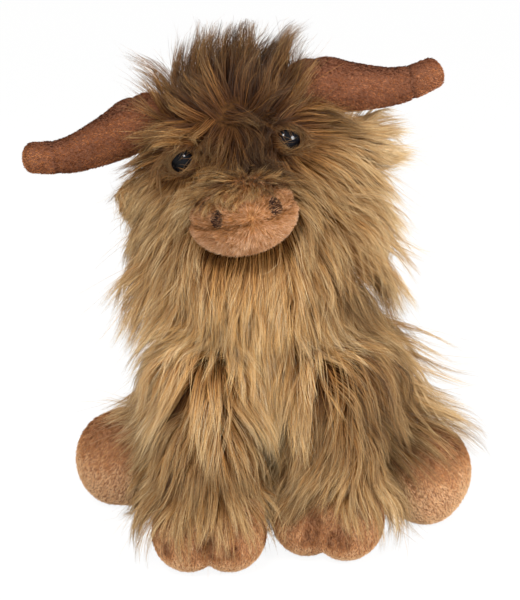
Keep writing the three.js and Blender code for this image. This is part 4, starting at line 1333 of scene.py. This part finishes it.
EAR_STROKES = {
    "right": [(122, 182, 116, 210, 3), (134, 180, 126, 222, 2), (122, 192, 118, 224, 3)],
    "left": [(344, 132, 394, 104, 16), (354, 138, 400, 120, 16), (360, 148, 410, 142, 18),
             (366, 158, 410, 170, 18), (350, 160, 398, 190, 14), (340, 146, 398, 158, 14)],
}
HIND_STROKES = {
    "right": [(130, 418, 92, 410, 10), (128, 444, 112, 470, 5), (134, 468, 120, 512, 5),
              (142, 408, 96, 394, 14), (136, 430, 98, 432, 8)],
    "left": [(386, 420, 466, 416, 22), (398, 428, 500, 436, 20), (410, 436, 504, 458, 15),
             (400, 446, 470, 478, 11), (394, 466, 440, 504, 9), (384, 490, 412, 532, 9)],
}
for side, sign in SIDES.items():
    leg = f"front_leg_{side}"
    other = f"front_leg_{'right' if side == 'left' else 'left'}"

    def above_hoof(points, normals, sign=sign):
        facing_other = smooth(-sign * normals[:, 0], 0.45, 0.8) * smooth(-points[:, 1], 40, 55)
        return smooth(points[:, 2], 17, 23) * (1 - 0.7 * facing_other)

    fur(f"{leg}_coat", leg, f"{leg}_skin",
        Comb(skins[f"{leg}_skin"], LEG_STROKES[side], over_shoulder),
        around([f"{leg}_skin", f"{leg}_toes", "torso_skin"], [f"{other}_skin"]),
        hairs=13500, wisps=1900, locks=420, tone_of=leg_tone, seed=3 + sign, keep=above_hoof,
        guide_options={"height": (2, 8), "scatter_deg": 10}, hair_options={"fuzz": 0.6, "strays": 0.1})

    leg = f"hind_leg_{side}"
    hip, onwards, seam = hind_leg_frame(side)

    def on_haunch(points, normals, hip=hip, onwards=onwards):
        return smooth(-((points - hip) @ onwards), -21, -14) * smooth(points[:, 2], 4, 9)

    fur(f"{leg}_coat", leg, f"{leg}_skin",
        Comb(skins[f"{leg}_skin"], HIND_STROKES[side], combed(onwards - UP * 0.3 - [0, 0.3, 0], 30, 6)),
        around([f"{leg}_skin", f"{leg}_toes", "torso_skin"], []),
        hairs=8500, wisps=1200, locks=280, tone_of=leg_tone, seed=7 + sign, keep=on_haunch,
        guide_options={"height": (3, 9)})

    ear = f"ear_{side}"
    flare, length = ([1.0, 0.1, -0.3], 24) if side == "left" else ([-0.1, -0.2, -1.0], 22)
    fur(f"{ear}_coat", ear, f"{ear}_skin",
        Comb(skins[f"{ear}_skin"], EAR_STROKES[side], combed(flare, length, 6)),
        around([f"{ear}_skin", "head_skin"], []), hairs=4200, wisps=420, locks=110, tone_of=head_tone,
        seed=11 + sign,
        guide_options={"height": (1, 10 if side == "left" else 4), "scatter_deg": 24, "flying": 0.3},
        wisp_options={"gather": 0.6}, hair_options={"gather": 0.88, "shortest": 0.25, "strays": 0.12})


def tail_rest(points, normals):
    end = smooth(points[:, 1], 60, 95)
    flow = np.array([0, 1.0, -0.5]) * end[:, None] - UP * (0.8 * (1 - end))[:, None] + [0, 0.5, 0]
    return flow, 16 + 14 * smooth(points[:, 1], 75, 100), np.full(len(points), 1.0)


fur("tail_coat", "tail", "tail_core", Comb(skins["tail_core"], [], tail_rest),
    around(["tail_core", "torso_skin"], []), hairs=5200, wisps=800, locks=200, tone_of=leg_tone, seed=21,
    guide_options={"height": (0.8, 4)}, hair_options={"strays": 0.05, "stray_reach": 4})


# Short nap

NAP_RADIUS, NAP_KNOTS = 0.13, 3


def nap(name, body, skin_name, hairs, length, lie, tone_of, material, seed, keep=None, tufts=2.0,
        gather=0.55, gold=0.5, mottle=0.07):
    """Brushed pile: short hairs, hairs to each square mm, that lean on one another in small tufts."""
    rng = np.random.default_rng(seed)
    obj = skins[skin_name]
    area = areas_of(obj).sum()
    points, normals = scatter(obj, int(area * hairs * DENSITY), rng, keep)
    centres, _ = scatter(obj, int(area / tufts), rng, keep)
    flow = lie(points, normals) + rng.normal(0, 0.35, points.shape)
    flow = unit(flow - dot(flow, normals) * normals)
    stand = rng.uniform(0.35, 0.95, (len(points), 1))
    reach = length * rng.uniform(0.6, 1.2, (len(points), 1))
    index, _ = nearest(points, centres, 1)
    shift = centres[index[:, 0]] - points
    s = np.linspace(0, 1, NAP_KNOTS)[None, :, None]
    path = points[:, None] - normals[:, None] * 0.2 + (flow + normals * stand)[:, None] * reach[:, None] * s
    path = path - normals[:, None] * (0.35 * reach[:, None] * s**2) + shift[:, None] * (gather * s)
    path[..., 2] = np.maximum(path[..., 2], 0.1)
    tone = tone_of(points, normals) + rng.normal(0, 0.07, len(points))
    tone = tone + rng.normal(0, mottle, len(centres))[index[:, 0]]
    coat(name, body, path, NAP_RADIUS * rng.uniform(0.7, 1.3, len(points)),
         tone_to_map(tone, rng.random(len(points)) < gold), material, rng)


def toe_tone(points, normals):
    """Paler towards the floor, painted light from the floor, and darker where the pile faces up,
    painted shade; dark in patches higher up.
    """
    patch = smooth(wave(points, 8, 5), 0.0, 0.7) * smooth(points[:, 2], 9, 16)
    # Painted light: paler towards the floor
    tone = 0.74 + 0.1 * wave(points, 4, 8) + 0.2 * falls(points[:, 2], 4, 16)
    # Painted shade where the pile faces up
    return tone - 0.4 * patch - 0.16 * smooth(normals[:, 2], -0.1, 0.9)


def hind_toe_tone(points, normals):
    """The hind feet are dark above, painted shade, and bright towards the floor, painted light from the
    floor; the cow's left one redder.
    """
    tone = 0.98 + 0.1 * wave(points, 5, 12) + 0.12 * falls(points[:, 2], 6, 26)
    # Painted shade where the pile faces up
    above = smooth(normals[:, 2], -0.1, 0.75)
    return tone - np.where(points[:, 0] > 0, 0.66, 0.56) * above


def horn_tone(points, normals):
    tone = 0.42 + 0.1 * wave(points, 9, 6) + 0.05 * wave(points, 2.5, 9)
    off = np.abs(to_head(points)[:, 0]) - HORN_SEAM_X
    tone += 0.1 * smooth(off, -2, 6)
    # Painted shade where the horn faces up; the seam a dark line
    return tone - 0.26 * smooth(normals[:, 2], 0.3, 0.9) - 0.25 * np.exp(-((off / 0.9) ** 2))


def muzzle_tone(points, normals):
    off = (points - MOUTH_AT) @ MOUTH_ACROSS
    below = smooth(-off, 1, 7)
    top = smooth(to_head(points)[:, 2], MUZZLE_AT[2] + 7, MUZZLE_AT[2] + 15)
    # Painted shade in the crease of the mouth's seam
    seam = np.exp(-((off / 1.1) ** 2))
    tone = 0.46 + 0.08 * wave(points, 5, 7) + 0.08 * wave(points, 2, 10)
    return tone + 0.16 * below - 0.12 * top - 0.23 * seam


HORN_GOLD = {"left": 0.2, "right": 0.65}
for side, sign in SIDES.items():
    nap(f"front_leg_{side}_nap", f"front_leg_{side}", f"front_leg_{side}_toes",
        hairs=3, length=2.0, lie=lambda p, n: np.array([0, -0.3, -1.0]), tone_of=toe_tone,
        material=SHORT_NAP, seed=31 + sign, gold=0.25)
    nap(f"hind_leg_{side}_nap", f"hind_leg_{side}", f"hind_leg_{side}_toes",
        hairs=3, length=2.0, lie=lambda p, n, s=sign: np.array([s * 0.6, -0.2, -0.8]),
        tone_of=hind_toe_tone, material=SHORT_NAP, seed=41 + sign, gold=0.25)
    nap(f"horn_{side}_nap", f"horn_{side}", f"horn_{side}_cloth",
        hairs=4, length=1.4, lie=lambda p, n, s=sign: np.array([s * 1.0, 0, -0.2]),
        tone_of=horn_tone, material=HORN_NAP, seed=51 + sign, gold=HORN_GOLD[side],
        tufts=1.4, gather=0.5, mottle=0.05)
WHORL, MUZZLE_NAP_BACK = head_point([3.0, -74.0, 61.0]), -46
nap("muzzle_nap", "head", "muzzle", hairs=8, length=3.0,
    lie=lambda p, n: unit(p - WHORL) * 1.6, tone_of=muzzle_tone, material=MUZZLE_NAP, seed=61,
    keep=lambda p, n: to_head(p)[:, 1] < MUZZLE_NAP_BACK, tufts=1.5, gather=0.75, mottle=0.08, gold=0.2)

# Nostrils: pads of satin stitches, each a thread over the muzzle
NOSTRIL = {"aside": 13.5, "middle": 2.5, "y": -70.0, "up": 4.5, "half_across": 3.0, "half_along": 3.6}
muzzle_tree = Obstacles([(skins["muzzle"], 0)])
for side, sign in SIDES.items():
    rng = np.random.default_rng(71 + sign)
    aside = NOSTRIL["middle"] + sign * NOSTRIL["aside"]
    centre = head_point([MUZZLE_AT[0] + aside, NOSTRIL["y"], MUZZLE_AT[2] + NOSTRIL["up"]])
    tilt = math.radians(-12 - sign * 14)
    along_axis = np.array([math.sin(tilt), 0, math.cos(tilt)])
    cross_axis = np.array([math.cos(tilt), 0, -math.sin(tilt)])
    threads = []
    for k in np.linspace(-1, 1, 13):
        half = NOSTRIL["half_across"] * math.sqrt(max(0.04, 1 - (k * 0.97) ** 2))
        for layer in range(2):
            row = []
            for q in np.linspace(-1, 1, 8):
                shift = rng.normal(0, 0.05, 3)
                up = k * NOSTRIL["half_along"] + 0.12 * rng.normal()
                p = centre + along_axis * up + cross_axis * (q * half) + shift
                hit = muzzle_tree.cast(p - [0, 30, 0], (0, 1, 0))
                at, face = np.array(hit[0]), np.array(hit[1])
                row.append(at + face * (0.35 + 0.5 * math.sqrt(max(0, 1 - q * q)) + 0.15 * layer))
            threads.append(row)
    threads = np.array(threads)
    pad = tube_mesh(f"nostril_{side}_stitches", threads, np.full(len(threads), 0.36),
                    np.full(len(threads), 0.5), THREAD, rng, taper=0.2)
    stands_for(pad, "head", [f"nostril_{side}"])

# The neck's closing disc and its ladder stitches, under the head
DISC_OUTER, DISC_INNER, DISC_EDGE = DOME_R + 1.2, DOME_R + 0.4, math.radians(26)
verts, faces = ellipsoid([DISC_OUTER] * 3, (0, 0, 0), up=48)
kept = verts[:, 2] / DISC_OUTER >= math.cos(DISC_EDGE)
index = {old: new for new, old in enumerate(np.nonzero(kept)[0])}
outer = verts[kept]
inner = outer * (DISC_INNER / DISC_OUTER)
faces = [tuple(index[i] for i in face) for face in faces if all(kept[i] for i in face)]
edges = [(a, b) for face in faces for a, b in zip(face, face[1:] + face[:1])]
shared = set(edges)
shift = len(outer)
closed = faces + [tuple(i + shift for i in reversed(face)) for face in faces]
closed += [(b, a, a + shift, b + shift) for a, b in edges if (b, a) not in shared]
disc = mesh_object("neck_disc_cloth", in_head(np.vstack([outer, inner])), closed, HOOF_BASE)
stands_for(disc, "neck_disc", ["neck_gusset"])

STITCHES, STITCH_SHARE, STITCH_POLAR, STITCH_RISE = 40, 0.8, 21, DOME_R + 2.6
stitches = []
for k in range(STITCHES):
    row = []
    for q in np.linspace(0, 1, 7):
        bow = math.sin(math.pi * q)
        polar = math.radians(STITCH_POLAR + 1.6 * bow * (-1) ** k)
        turned = 2 * math.pi * (k + STITCH_SHARE * q) / STITCHES
        reach = STITCH_RISE + 0.5 * bow
        row.append((reach * math.sin(polar) * math.cos(turned), reach * math.sin(polar) * math.sin(turned),
                    reach * math.cos(polar)))
    stitches.append(row)
ladder = tube_mesh("neck_ladder_thread", in_head(np.array(stitches)), np.full(STITCHES, 0.5),
                   np.full(STITCHES, 0.5), THREAD, np.random.default_rng(20), taper=0.3)
stands_for(ladder, "neck_thread", ["neck_stitching"])

# Stage, light and camera

def looked_at(tree):
    """1 for the camera's rays and for those that gloss and glass send on, 0 for light on the object."""
    path = tree.nodes.new("ShaderNodeLightPath")
    total = path.outputs["Is Camera Ray"]
    for kind in ("Is Glossy Ray", "Is Transmission Ray"):
        added = tree.nodes.new("ShaderNodeMath")
        added.operation, added.use_clamp = "ADD", True
        tree.links.new(total, added.inputs[0])
        tree.links.new(path.outputs[kind], added.inputs[1])
        total = added.outputs[0]
    return total


WORLD_LIGHT, WORLD_SEEN, FLOOR_GLOW, FLOOR_GLOW_SHARE = 0.7, 1.0, 1.03, 0.9

scene = bpy.context.scene
scene.view_settings.view_transform = "Standard"
world = bpy.data.worlds.new("studio")
scene.world = world
world.use_nodes = True
background = world.node_tree.nodes["Background"]
background.inputs["Color"].default_value = (1, 1, 1, 1)
strength = world.node_tree.nodes.new("ShaderNodeMapRange")
strength.inputs["To Min"].default_value = WORLD_LIGHT
strength.inputs["To Max"].default_value = WORLD_SEEN
world.node_tree.links.new(looked_at(world.node_tree), strength.inputs["Value"])
world.node_tree.links.new(strength.outputs["Result"], background.inputs["Strength"])

floor_look = Shader("floor", 0.9)
floor_look.colour(floor_look.ramp(floor_look.noise(3), [(0.0, "f2f2f0"), (1.0, "f6f6f5")]))
glow = floor_look.node("Emission", in_Strength=FLOOR_GLOW)
mixer = floor_look.node("MixShader")
glowing = floor_look.math("MULTIPLY", looked_at(floor_look.tree), FLOOR_GLOW_SHARE)
floor_look.link(glowing, mixer.inputs["Fac"])
floor_look.link(floor_look.surface.outputs["BSDF"], mixer.inputs[1])
floor_look.link(glow.outputs["Emission"], mixer.inputs[2])
floor_look.link(mixer.outputs["Shader"], floor_look.tree.nodes["Material Output"].inputs["Surface"])
FLOOR_R, FLOOR_SIDES = 6000, 64
verts, faces = [(0, 0, 0)], []
for j in range(FLOOR_SIDES):
    a = 2 * math.pi * j / FLOOR_SIDES
    verts.append((FLOOR_R * math.cos(a), FLOOR_R * math.sin(a), 0))
    faces.append((0, j + 1, (j + 1) % FLOOR_SIDES + 1))
floor = mesh_object("floor", verts, faces, floor_look.material, False)


LAMPS_AIM = (0, -10, 120)


def lamp(name, place, size, power):
    data = bpy.data.lights.new(name, "AREA")
    data.shape = "DISK"
    data.size = size * MM
    data.energy = power
    obj = bpy.data.objects.new(name, data)
    scene.collection.objects.link(obj)
    obj.location = Vector(place) * MM
    obj.rotation_euler = (Vector(LAMPS_AIM) - Vector(place)).to_track_quat("-Z", "Y").to_euler()


lamp("key", (-260, -800, 900), 300, 12)
lamp("fill", (700, -500, 450), 250, 7)

camera = bpy.data.objects.new("camera", bpy.data.cameras.new("camera"))
scene.collection.objects.link(camera)
camera.data.lens = LENS
camera.data.sensor_width = SENSOR
camera.location = Vector(CAMERA_AT) * MM
camera.rotation_euler = Vector(FORWARD).to_track_quat("-Z", "Y").to_euler()
camera.data.clip_start, camera.data.clip_end = 0.01, 50
scene.camera = camera
